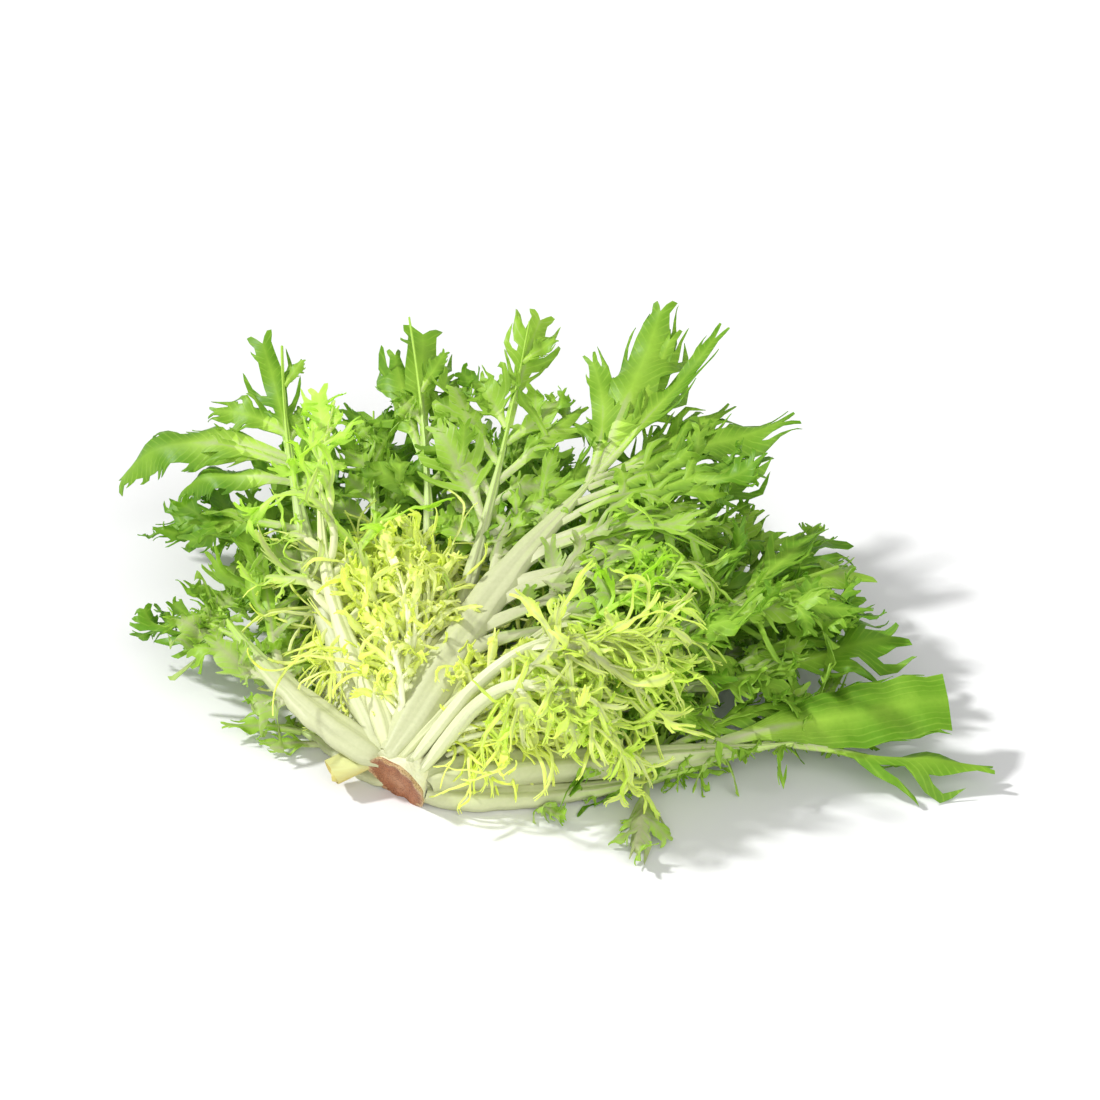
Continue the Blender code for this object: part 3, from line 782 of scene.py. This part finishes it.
def leaf_sheets(rib):
    """Every ribbon of a leaf: its end blade, its side fronds and the twigs on them."""
    leaf, style = rib.leaf, rib.style
    draw = random.Random(leaf["name"])
    low, high = leaf["green"] or (style["low"], style["high"])
    fronds = side_fronds(leaf, style, draw)
    sheets = end_blade(rib, low, high, draw)
    for f in fronds:
        t, length, shape = f["t"], f["length"] * MM, f.get("shape")
        along, across, normal = rib.frame(t)
        origin = rib.point(t) + across * f["side"] * rib.half_width(t) * 0.4 - normal * rib.thick(t) * 0.12
        ribbon = Ribbon(
            origin, (along, across, normal), length, f["side"], f["angle"], f["bend"], f["lift"],
            f["curl"], draw.uniform(-35, 35) * (0.3 if shape else 1), 5 if shape else 13,
            draw.random(), f.get("tilt", 0))
        drawn_green = draw.uniform(low, high) * (0.7 + 0.4 * t)
        green = (rib.green(t), min(1, f.get("green", drawn_green)))
        foot = min(style["foot"] * (1.1 - 0.6 * t), 0.05 * f["length"] + 0.3) * MM * f.get("stout", 1)
        patterns = style["frond_shapes"]
        if style["stems"] < 1 and draw.random() >= style["stems"]:
            patterns = ANTLER
        patterns = SHAPES.get(shape, patterns)
        if shape == "fan":
            sheets.append(lay(
                ribbon, FAN[0], 2.2 * MM, f["blade"] * MM, 0.45, green, (2.0 * MM, 0.6 * MM),
                0.1, 0.12, 6, 0.2, 0.1))
            continue
        thick = (min(2.6, 1.0 + foot / MM * 0.7) * MM, 0.5 * MM)
        sheets.append(lay(
            ribbon, draw.choice(patterns), foot, f["blade"] * MM, f.get("swell", 0.4), green, thick,
            draw.uniform(-0.2, 0.5), draw.uniform(0.1, 0.5), draw.uniform(1.5, 3), draw.random()))
        if shape != "blade" and not f.get("bare"):
            sheets += twigs(ribbon, style, length, 0.3, 0.98, green, draw)
    return sheets


def paint(mesh, green, edge, vein):
    """Writes what the leaf tissue reads: how green, how near the edge, which vein."""
    for name, values in (("green", green), ("edge", edge), ("vein", vein)):
        mesh.attributes.new(name, "FLOAT", "POINT").data.foreach_set("value", values)


def sheet_object(name, parts, materials):
    """Joins bent ribbons into one sheet and gives it its thickness."""
    starts = np.cumsum([0] + [len(part[0]) for part in parts])
    points, green, edge, thick, vein = (np.concatenate([part[i] for part in parts]) for i in (0, 2, 3, 4, 5))
    faces = np.concatenate([part[1] + start for part, start in zip(parts, starts)])
    points[:, 2] = np.maximum(points[:, 2], thick / 2 + 0.15 * MM)
    mesh = bpy.data.meshes.new(name)
    mesh.from_pydata(points.tolist(), [], faces.tolist())
    paint(mesh, green, edge, vein)
    for material in materials:
        mesh.materials.append(material)
    mesh.polygons.foreach_set("material_index", (thick[faces].mean(axis=1) < THIN_BLADE).astype(int))
    obj = bpy.data.objects.new(name, mesh)
    bpy.context.scene.collection.objects.link(obj)
    group = obj.vertex_groups.new(name="thickness")
    levels = np.clip(np.round(thick / MOST_THICK * THICK_LEVELS), 1, THICK_LEVELS).astype(int)
    for level in range(1, THICK_LEVELS + 1):
        chosen = np.flatnonzero(levels == level)
        if len(chosen):
            group.add(chosen.tolist(), level / THICK_LEVELS, "REPLACE")
    solid = obj.modifiers.new("blade", "SOLIDIFY")
    solid.thickness = MOST_THICK
    solid.offset = 0
    solid.vertex_group = group.name
    single_out(obj)
    bpy.ops.object.modifier_apply(modifier="blade")
    return obj


def bar_object(name, parts, material):
    """Joins the ribs of one piece into one mesh."""
    starts = np.cumsum([0] + [len(part[0]) for part in parts])
    points, green, edge, vein = (np.concatenate([part[i] for part in parts]) for i in (0, 2, 3, 4))
    faces = [tuple(i + int(start) for i in face) for part, start in zip(parts, starts) for face in part[1]]
    mesh = bpy.data.meshes.new(name)
    mesh.from_pydata(points.tolist(), [], faces)
    paint(mesh, green, edge, vein)
    mesh.materials.append(material)
    obj = bpy.data.objects.new(name, mesh)
    bpy.context.scene.collection.objects.link(obj)
    return obj


def grow(name, ribs, node, palette, curls=()):
    """One finished piece from ribs and loose curls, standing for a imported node."""
    materials = MATERIALS[palette]
    sheets = [sheet for rib in ribs for sheet in leaf_sheets(rib)]
    piece = sheet_object(name, sheets + list(curls), materials)
    if ribs:
        bars = bar_object(name + "_ribs", [rib_mesh(rib) for rib in ribs], materials[0])
        single_out(piece)
        bars.select_set(True)
        bpy.ops.object.join()
    edit(piece)
    bpy.ops.mesh.select_all(action="SELECT")
    bpy.ops.mesh.normals_make_consistent(inside=False)
    bpy.ops.object.mode_set(mode="OBJECT")
    bpy.ops.object.shade_smooth_by_angle(angle=math.radians(75))
    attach(piece, "root")
    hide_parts(node)


def grow_leaf(spec, curls=()):
    name = spec["name"].replace("leaf_", "endive_")
    grow(name, [Rib(spec)], spec["name"], spec["palette"], curls)


grow_leaf(leaf(
    "leaf_main", "outer", heading=62, rise=14, reach=204, arch=6, late=11, roll=6, seat=(86, 56),
    rib=16, stout=1.5, until=0.62, sides=(0.45, 0.8), first=0.44, sparse=1.7, tip=(0.4, 0),
    fronds=(
        frond(0.14, 1, 34, 56, 1.5, -46, 14, -90, green=0.2, stout=1.3),
        frond(0.20, 1, 50, 60, 1.5, 40, 16, -80, green=0.22, stout=1.3),
        frond(0.26, 1, 32, 68, 1.6, -50, 16, -70, green=0.25, stout=1.3),
        frond(0.31, 1, 58, 62, 1.7, 44, 14, -70, green=0.3, stout=1.3),
        frond(0.36, 1, 30, 68, 1.8, -40, 14, -50, green=0.45, stout=1.3),
        frond(0.41, 1, 52, 60, 2.0, 34, 10, -50, green=0.5, stout=1.3),
        frond(0.46, 1, 32, 66, 2.4, -20, 8, -25, green=0.7),
        frond(0.30, -1, 30, 40, 1.4, 10, 0, -20, green=0.2),
        frond(0.52, 1, 40, 60, 3, -8, 4, -20, green=0.9),
        frond(0.58, -1, 11, 80, 8.4, -2, 7, 8, shape="blade", swell=0.3, green=0.85),
        frond(0.62, -1, 4, 62, 5, -4, 6, 6, shape="antler", bare=True, swell=0.4, green=0.85),
        frond(0.57, -1, 13, 60, 4.4, -36, 8, 0, shape="antler", bare=True, green=0.8),
        frond(0.60, 1, 4, 74, 4, -2, 2, 8, shape="antler", bare=True, swell=0.5, green=0.9),
        frond(0.58, 1, 22, 60, 4, 8, -8, 2, shape="antler", bare=True, green=0.8),
        frond(0.59, 1, 33, 74, 5.8, 0, -11, 2, shape="antler", bare=True, swell=0.45, green=0.85),
        frond(0.56, 1, 30, 52, 3.2, 6, -4, -10, green=0.9),
    )))


# The other leaves over the heart: a pale, blunt rib at the front left, two tall leaves
# behind it, the nearer one lime, and the long one at the front right, whose blade was
# cut off square. They grow from the crown like the broad leaf.
STYLES["middle"] = dict(
    slot="middle_leaf", rib_thick=3.2, rib_green=(0.3, 1.4), rib_grid=(44, 28),
    lobe=38, angle=46, first=0.16, step=0.034, foot=1.7, blade=1.7, lift=14, curl=80, stems=1,
    twig=0.65, gap=4.4, twig_blade=1.3, sway=80, twig_curl=150, tip=0.22, tip_blade=3.2,
    low=0.15, high=0.6, frond_shapes=STEM, twig_shapes=TWIG, tip_shapes=ANTLER)
MATERIALS["lime"] = leaf_materials(
    "lime_leaf", (0.66, 0.69, 0.4), (0.76, 0.95, 0.22), (0.56, 0.84, 0.07), 0.48)

grow_leaf(leaf(
    "leaf_front_left", "outer", heading=126, rise=5, reach=106, arch=3, sway=-8, drop=4, roll=-10,
    seat=(168, 14), rib=14, stout=1.5, sides=(0.6, 0.35), first=0.3, sparse=2, green=(0.35, 0.8),
    tip=(0.3, 2.4),
    fronds=(
        frond(0.42, 1, 22, 70, 2.2, -10, 8, 10, green=0.6),
        frond(0.6, -1, 30, 44, 2.4, 14, 0, -40, green=0.85),
        frond(0.7, -1, 32, 34, 3.4, 10, 4, -50, shape="antler", green=0.9),
    )))
grow_leaf(leaf(
    "leaf_over_left", "middle", palette="lime", heading=101, rise=21, reach=140, arch=-2, sway=-13,
    roll=10, seat=(130, 48), rib=8, stout=1.5, sides=(0.6, 0.7), first=0.42, sparse=2.0,
    green=(0.3, 0.8), tip=(0.25, 3.4),
    fronds=(
        frond(0.5, 1, 36, 44, 1.7, 110, 16, -40, green=0.35),
        frond(0.36, -1, 34, 34, 1.2, 60, 10, -60, green=0.2),
        frond(0.3, 1, 40, 36, 1.2, -70, 20, -80, green=0.2),
        frond(0.62, 1, 32, 36, 1.8, 90, 10, -30, green=0.5),
    )))
grow_leaf(leaf(
    "leaf_front_right", "outer", heading=5, rise=3, reach=168, arch=-1, sway=4, roll=14, seat=(-6, 2),
    rib=15, stout=2.1, until=0.7, sides=(1.0, 0.1), first=0.25, sparse=0.8, tip=(0.45, 0),
    fronds=(
        frond(0.46, -1, 7, 95, 12, 4, 8, -10, shape="fan", tilt=-35, green=1.0),
        frond(0.69, 1, 6, 64, 5.2, 0, -13, 3, shape="antler", bare=True, swell=0.5, tilt=6, green=0.9),
        frond(0.4, -1, 20, 56, 3.2, 0, 16, -20, shape="antler", green=0.85),
    )))
grow_leaf(leaf(
    "leaf_tall_left", "outer", heading=104.4, rise=18, reach=180, arch=-4, sway=-8, roll=8,
    seat=(141, 23), rib=11, stout=1.6, sides=(0.5, 0.5), first=0.42, sparse=1.8, tip=(0.3, 4.2),
    fronds=(
        frond(0.72, -1, 60, 78, 7.4, -25, 8, -66, shape="blade", swell=0.2, green=0.9),
        frond(0.70, -1, 58, 68, 3.6, -4, 8, -66, shape="antler", bare=True, swell=0.3, green=0.9),
        frond(0.78, -1, 44, 32, 4, -24, 8, -30, shape="antler", bare=True, swell=0.2, green=0.85),
        frond(0.66, -1, 66, 50, 5, -6, 6, -60, shape="blade", swell=0.3, green=0.95),
        frond(0.54, -1, 66, 52, 3.8, -12, 8, -30, shape="antler", green=0.95),
        frond(0.9, 1, 34, 13, 2.2, 0, 0, 0, shape="blade"),
    )))


# The leaves behind the heart and at its right: long and green, on slim ribs. Their
# toothed tips make the upper and the right outline of the fan.
grow_leaf(leaf(
    "leaf_back_left", "outer", heading=95, rise=15, reach=152, arch=-8, sway=-2, seat=(114, 9),
    rib=7.5, sides=(0.8, 0.8)))
grow_leaf(leaf(
    "leaf_back_middle", "outer", heading=91.5, rise=21, reach=178, arch=-12, sway=7, roll=-6,
    seat=(95, 30), rib=8, sides=(0.7, 0.8), first=0.4, sparse=1.4, tip=(0.3, 6.5, -20, 10),
    fronds=(
        frond(0.68, -1, 15, 54, 4.4, 14, 0, -20, shape="antler", bare=True, green=0.9),
        frond(0.84, 1, 34, 20, 2.6, 0, 0, 0, shape="blade"),
    )))
grow_leaf(leaf(
    "leaf_slim", "outer", heading=78, rise=20, reach=181, arch=-4, sway=2, roll=-8, seat=(70, 32),
    rib=7.5, stout=1.3, sides=(0.8, 0.9), first=0.42, green=(0.35, 0.75), tip=(0.26, 4.4),
    fronds=(
        frond(0.9, 1, 40, 16, 2.4, 0, 0, 0, shape="blade"),
    )))
grow_leaf(leaf(
    "leaf_back_right", "outer", heading=48, rise=11, reach=170, arch=-8, sway=4, drop=2,
    seat=(46, 26), rib=6.5, sides=(1.1, 1), tip=(0.32, 5)))
grow_leaf(leaf(
    "leaf_right_upper", "outer", heading=28.5, rise=9.5, reach=158, arch=6, sway=2, drop=2, roll=6,
    seat=(22, 10), rib=6.5, tip=(0.34, 7),
    fronds=(
        frond(0.72, 1, 30, 44, 4, -6, -6, 0, shape="antler", green=0.9),
        frond(0.7, -1, 20, 48, 4, 6, 6, 0, shape="antler", green=0.9),
    )))
grow_leaf(leaf(
    "leaf_right_lower", "outer", heading=18.5, rise=5, reach=157, arch=6, sway=2, drop=2, roll=8,
    seat=(18, -9), rib=6.5, sides=(1, 0.7), tip=(0.32, 7),
    fronds=(
        frond(0.6, -1, 18, 62, 4, 4, 6, 0, shape="antler", green=0.9),
        frond(0.7, -1, 30, 46, 4, 8, 8, 0, shape="antler", green=0.9),
    )))


# The fringe: three smaller lime leaves that fold over to the right of the broad rib. A
# curtain of fine, curly threads hangs from them over the long rib at the front.
MATERIALS["middle"] = leaf_materials(
    "middle_leaf", (0.66, 0.69, 0.43), (0.88, 0.97, 0.3), (0.66, 0.88, 0.09), 0.48)
FRINGE_THREADS = 34
FRINGE = (
    (leaf("leaf_fringe_1", "middle", heading=-10, rise=-6, reach=64, arch=34, sway=2, drop=4, roll=16,
          seat=(2, 38), rib=5.5, sides=(1, 0.7), first=0.35), 22, -20),
    (leaf("leaf_fringe_2", "middle", heading=18, rise=10, reach=76, arch=25, sway=2, drop=6, roll=12,
          seat=(17, 53), rib=5, sides=(0.8, 1.2), first=0.45), 38, -45),
    (leaf("leaf_fringe_3", "middle", palette="lime", heading=36, rise=16, reach=108, arch=6, drop=4,
          roll=4, seat=(44, 50), rib=5, first=0.5, green=(0.45, 0.95)), 36, -15),
)


def threads(draw, count, place, green, width):
    """Loose curly threads: place gives each one's start, heading, rise, droop and length."""
    sheets = []
    for _ in range(count):
        origin, heading, rise, droop, length = place(draw)
        along = direction(heading, rise)
        across = unit(np.cross(along, UP))
        frame = along, across, np.cross(across, along)
        ribbon = Ribbon(
            origin, frame, length, draw.choice((-1, 1)), draw.uniform(-12, 12), draw.uniform(-110, 230),
            0, droop, draw.uniform(-90, 90), draw.uniform(8, 30), draw.random())
        wide = draw.uniform(*width) * MM
        start = draw.uniform(*green)
        sheets.append(lay(
            ribbon, draw.choice(HAIR), wide * 1.15, wide, 0.5, (start, start + draw.uniform(0, 0.3)),
            (1.0 * MM, 0.5 * MM), draw.uniform(-0.2, 0.4), draw.uniform(0, 0.3), 2, draw.random(), 0.4))
        for _ in range(2):
            point, frame = ribbon.at(draw.uniform(0.25, 0.8))
            twig = Ribbon(
                point, frame, length * draw.uniform(0.3, 0.6), draw.choice((-1, 1)),
                draw.uniform(20, 50), draw.uniform(-100, 130), 0, draw.uniform(-90, 60),
                draw.uniform(-60, 60), 16, draw.random())
            sheets.append(lay(
                twig, draw.choice(HAIR), wide * 0.6, wide * 0.9, 0.5,
                (start + 0.1, start + draw.uniform(0.1, 0.5)), (0.7 * MM, 0.45 * MM),
                0.2, 0.2, 2, draw.random(), 0.4))
    return sheets


for spec, reach, aim in FRINGE:
    rib = Rib(spec)

    def hanging(draw):
        """From a point of the rib, forward and down."""
        start = rib.point(draw.uniform(0.3, 1))
        heading = aim + draw.uniform(-45, 45)
        return (
            start, heading, draw.uniform(-15, 30), draw.uniform(-130, -60),
            reach * draw.uniform(0.6, 1.2) * MM)

    draw = random.Random(spec["name"] + " hanging")
    grow_leaf(spec, threads(draw, FRINGE_THREADS, hanging, (0.1, 0.4), (0.6, 1.1)))


# The leaves below: four under the fan and six flat on the surface, all round. They are
# the oldest and greenest, and show at the rim and from behind.
for spec in (
    leaf("leaf_under_1", "outer", heading=118, rise=9, reach=142, arch=-2, sway=-2, seat=(136, -12),
         rib=8, sides=(0.3, 1), first=0.35),
    leaf("leaf_under_2", "outer", heading=105, rise=7, reach=160, arch=-4, seat=(110, -14), rib=8),
    leaf("leaf_under_3", "outer", heading=78, rise=9, reach=165, arch=-4, seat=(80, -10), rib=8),
    leaf("leaf_under_4", "outer", heading=37.5, rise=7, reach=174, arch=-4, seat=(44, -6), rib=8,
         tip=(0.3, 8),
         fronds=(
             frond(0.7, 1, 26, 46, 4.4, 4, 0, 0, shape="antler", bare=True, green=0.9),
             frond(0.62, -1, 22, 56, 4.4, 0, 4, 0, shape="antler", bare=True, green=0.9),
         )),
    leaf("leaf_floor_1", "outer", heading=141, rise=1, reach=66, sway=4, seat=(166, -40), rib=8.5,
         until=0.7, sides=(0.2, 0.2), first=0.65, sparse=4, green=(0.3, 0.6), tip=(0.3, 0),
         fronds=(
             frond(0.6, -1, 30, 26, 2.4, -20, 8, 0, shape="antler", bare=True, green=0.4),
             frond(0.45, -1, 50, 20, 2, 0, 8, 0, shape="antler", bare=True, green=0.4),
         )),
    leaf("leaf_floor_2", "outer", heading=120, rise=1, reach=138, seat=(124, -46), rib=9,
         sides=(0.12, 0.8), first=0.4, sparse=1.4),
    leaf("leaf_floor_3", "outer", heading=93, rise=1, reach=162, seat=(92, -46), rib=9, sparse=1.6),
    leaf("leaf_floor_4", "outer", heading=63, rise=1, reach=165, seat=(60, -46), rib=9, sparse=1.6),
    leaf("leaf_floor_5", "outer", heading=32, rise=1, reach=160, seat=(28, -44), rib=9,
         sides=(1, 0.4), sparse=1.4),
    leaf("leaf_floor_6", "outer", heading=11, rise=1, reach=104, sway=7, seat=(-30, -30), rib=13,
         stout=1.5, sides=(0.6, 0.05), first=0.45, tip=(0.3, 0),
         fronds=(
             frond(0.66, 1, 108, 36, 3.4, -10, 10, -20, green=0.15),
             frond(0.3, 1, 60, 13, 1.3, 0, 5, -10, green=0.3),
         )),
):
    grow_leaf(spec)


# The heart: dozens of small, tightly curled leaves, kept from the light and so pale
# yellow. They crowd round the growing tip in the middle of the head, and a collar of
# them peeps out between the ribs round the crown.
STYLES["inner"] = dict(
    slot="heart_leaf", rib_thick=1.4, rib_green=(0.1, 1.2), rib_grid=(12, 8),
    lobe=24, angle=45, first=0.16, step=0.1, foot=0.8, blade=1.2, lift=30, curl=120, stems=1,
    twig=0.7, gap=5.0, twig_blade=1.1, sway=110, twig_curl=180, tip=0.25, tip_blade=1.4,
    low=0.35, high=1.0, frond_shapes=THREAD, twig_shapes=THREAD, tip_shapes=STEM)
MATERIALS["inner"] = leaf_materials(
    "heart_leaf", (0.88, 0.91, 0.6), (0.94, 0.98, 0.46), (0.9, 0.97, 0.24), 0.48)
HEART_CENTRE = np.array((-2.4, 46.2, 28.5)) * MM
HEART_HEADING, HEART_RISE = 95, 16
HEART_LENGTH = 24 * MM
HEART_LEAVES, COLLAR_LEAVES = 44, 20
HEART_THREADS, COLLAR_THREADS = 190, 130
THREAD_WIDTH = (0.42, 0.85)
CORE_SIZE = (15, 27, 11)
GOLDEN_ANGLE = 137.5

draw = random.Random("heart")
heart_ribs = []
for i in range(HEART_LEAVES):
    turn = math.radians(i * GOLDEN_ANGLE)
    lean = math.sqrt((i + 0.5) / HEART_LEAVES)
    heading = HEART_HEADING + 24 * lean * math.sin(turn)
    rise = max(3, HEART_RISE + 20 * lean * math.cos(turn) - 0.5 * abs(heading - HEART_HEADING))
    root = HEART_CENTRE + direction(90, 12) * HEART_LENGTH * (0.6 - 1.7 * lean)
    root = root + direction(heading, rise) * 2 * MM
    heart_ribs.append(Rib(leaf(
        f"heart_{i}", "inner", heading=heading, rise=rise, reach=42 + 16 * lean + draw.uniform(-6, 6),
        arch=5, sway=draw.uniform(-8, 8), drop=4, roll=draw.uniform(-60, 60), rib=2.6), root))
collar_ribs = []
for i in range(COLLAR_LEAVES):
    seat = draw.uniform(-5, 62) if i % 4 else draw.uniform(104, 118)
    heading, rise = seat + draw.uniform(-14, 14), draw.uniform(5, 38)
    root = CROWN_CENTRE + direction(seat, draw.uniform(20, 58)) * 13 * MM
    collar_ribs.append(Rib(leaf(
        f"collar_{i}", "inner", heading=heading, rise=rise, reach=draw.uniform(30, 56),
        arch=draw.uniform(2, 10), sway=draw.uniform(-6, 6), drop=4, roll=draw.uniform(-60, 60), rib=3), root))


def heart_thread(draw):
    """Between the main rib and the left leaves, running up and away from the crown."""
    heading, far = draw.uniform(82, 110), draw.uniform(18, 72)
    origin = np.array((0, 2, 20 + 0.2 * far + draw.uniform(-6, 4))) * MM + direction(heading, 0) * far * MM
    return (
        origin, heading + draw.uniform(-25, 40), draw.uniform(-5, 35), draw.uniform(-110, 0),
        draw.uniform(26, 50) * MM)


def collar_thread(draw):
    """Right of the main rib, curling low over the foot of the right-hand leaves."""
    heading, far = draw.uniform(4, 50), draw.uniform(10, 60)
    origin = np.array((0, 0, 15 + 0.25 * far + draw.uniform(-5, 4))) * MM + direction(heading, 0) * far * MM
    return (
        origin, heading + draw.uniform(-50, 10), draw.uniform(-10, 35), draw.uniform(-130, 0),
        draw.uniform(20, 38) * MM)


collar_curls = threads(draw, COLLAR_THREADS, collar_thread, (0.2, 0.9), THREAD_WIDTH)
heart_curls = threads(draw, HEART_THREADS, heart_thread, (0.2, 0.7), THREAD_WIDTH)
grow("heart_fronds", heart_ribs, "heart", "inner")
grow("collar_fronds", collar_ribs, "heart", "inner", collar_curls)
grow("heart_curls", [], "heart", "inner", heart_curls)

bpy.ops.object.select_all(action="DESELECT")
bpy.ops.mesh.primitive_ico_sphere_add(subdivisions=4, radius=1, location=(0, 0, 0))
core = bpy.context.object
core.name = "heart_core"
for vertex in core.data.vertices:
    x, y, z = vertex.co
    lump = 1 + 0.1 * math.sin(9 * x + 4 * y) * math.sin(7 * z + 2) + 0.07 * math.sin(15 * y + 8 * z)
    vertex.co = Vector((x * CORE_SIZE[0], y * CORE_SIZE[1], z * CORE_SIZE[2])) * lump * MM
core.rotation_euler = (math.radians(12), 0, math.radians(-4))
core.location = Vector(HEART_CENTRE) + Vector((1, -4, -5)) * MM
settle(core)
count = len(core.data.vertices)
paint(core.data, [0.3] * count, [1.0] * count, [0.5] * count)
core.data.materials.append(MATERIALS["inner"][0])
bpy.ops.object.shade_smooth()
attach(core, "root")
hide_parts("heart")


# The surface and the light: a white table, a key light from the left, a broad fill light
# from the front, and an even white sky all round.
KEY_FROM, KEY_STRENGTH, KEY_SOFTNESS = Vector((-1, 0.28, 0.95)), 3.0, 5
FILL_FROM, FILL_STRENGTH, FILL_SOFTNESS = Vector((0.3, -1, 0.5)), 2.4, 80
SKY_STRENGTH = 0.42
TABLE_WHITE = (0.79, 0.79, 0.79, 1)

bpy.ops.object.select_all(action="DESELECT")
bpy.ops.mesh.primitive_plane_add(size=6, location=(0, 0, 0))
table = bpy.context.object
table.name = "white_surface"
table_material, _, table_shader = blank_material("white_surface", 0.85)
table_shader.inputs["Base Color"].default_value = TABLE_WHITE
table_shader.inputs["Specular IOR Level"].default_value = 0.0
table.data.materials.append(table_material)


def sun(name, source, strength, softness):
    light = bpy.data.lights.new(name, "SUN")
    light.energy = strength
    light.angle = math.radians(softness)
    lamp = bpy.data.objects.new(name, light)
    lamp.rotation_euler = source.to_track_quat("Z", "Y").to_euler()
    bpy.context.scene.collection.objects.link(lamp)


sun("key", KEY_FROM, KEY_STRENGTH, KEY_SOFTNESS)
sun("fill", FILL_FROM, FILL_STRENGTH, FILL_SOFTNESS)
sky = bpy.data.worlds.new("sky")
sky.use_nodes = True
sky.node_tree.nodes["Background"].inputs["Color"].default_value = (1, 1, 1, 1)
sky.node_tree.nodes["Background"].inputs["Strength"].default_value = SKY_STRENGTH
bpy.context.scene.world = sky
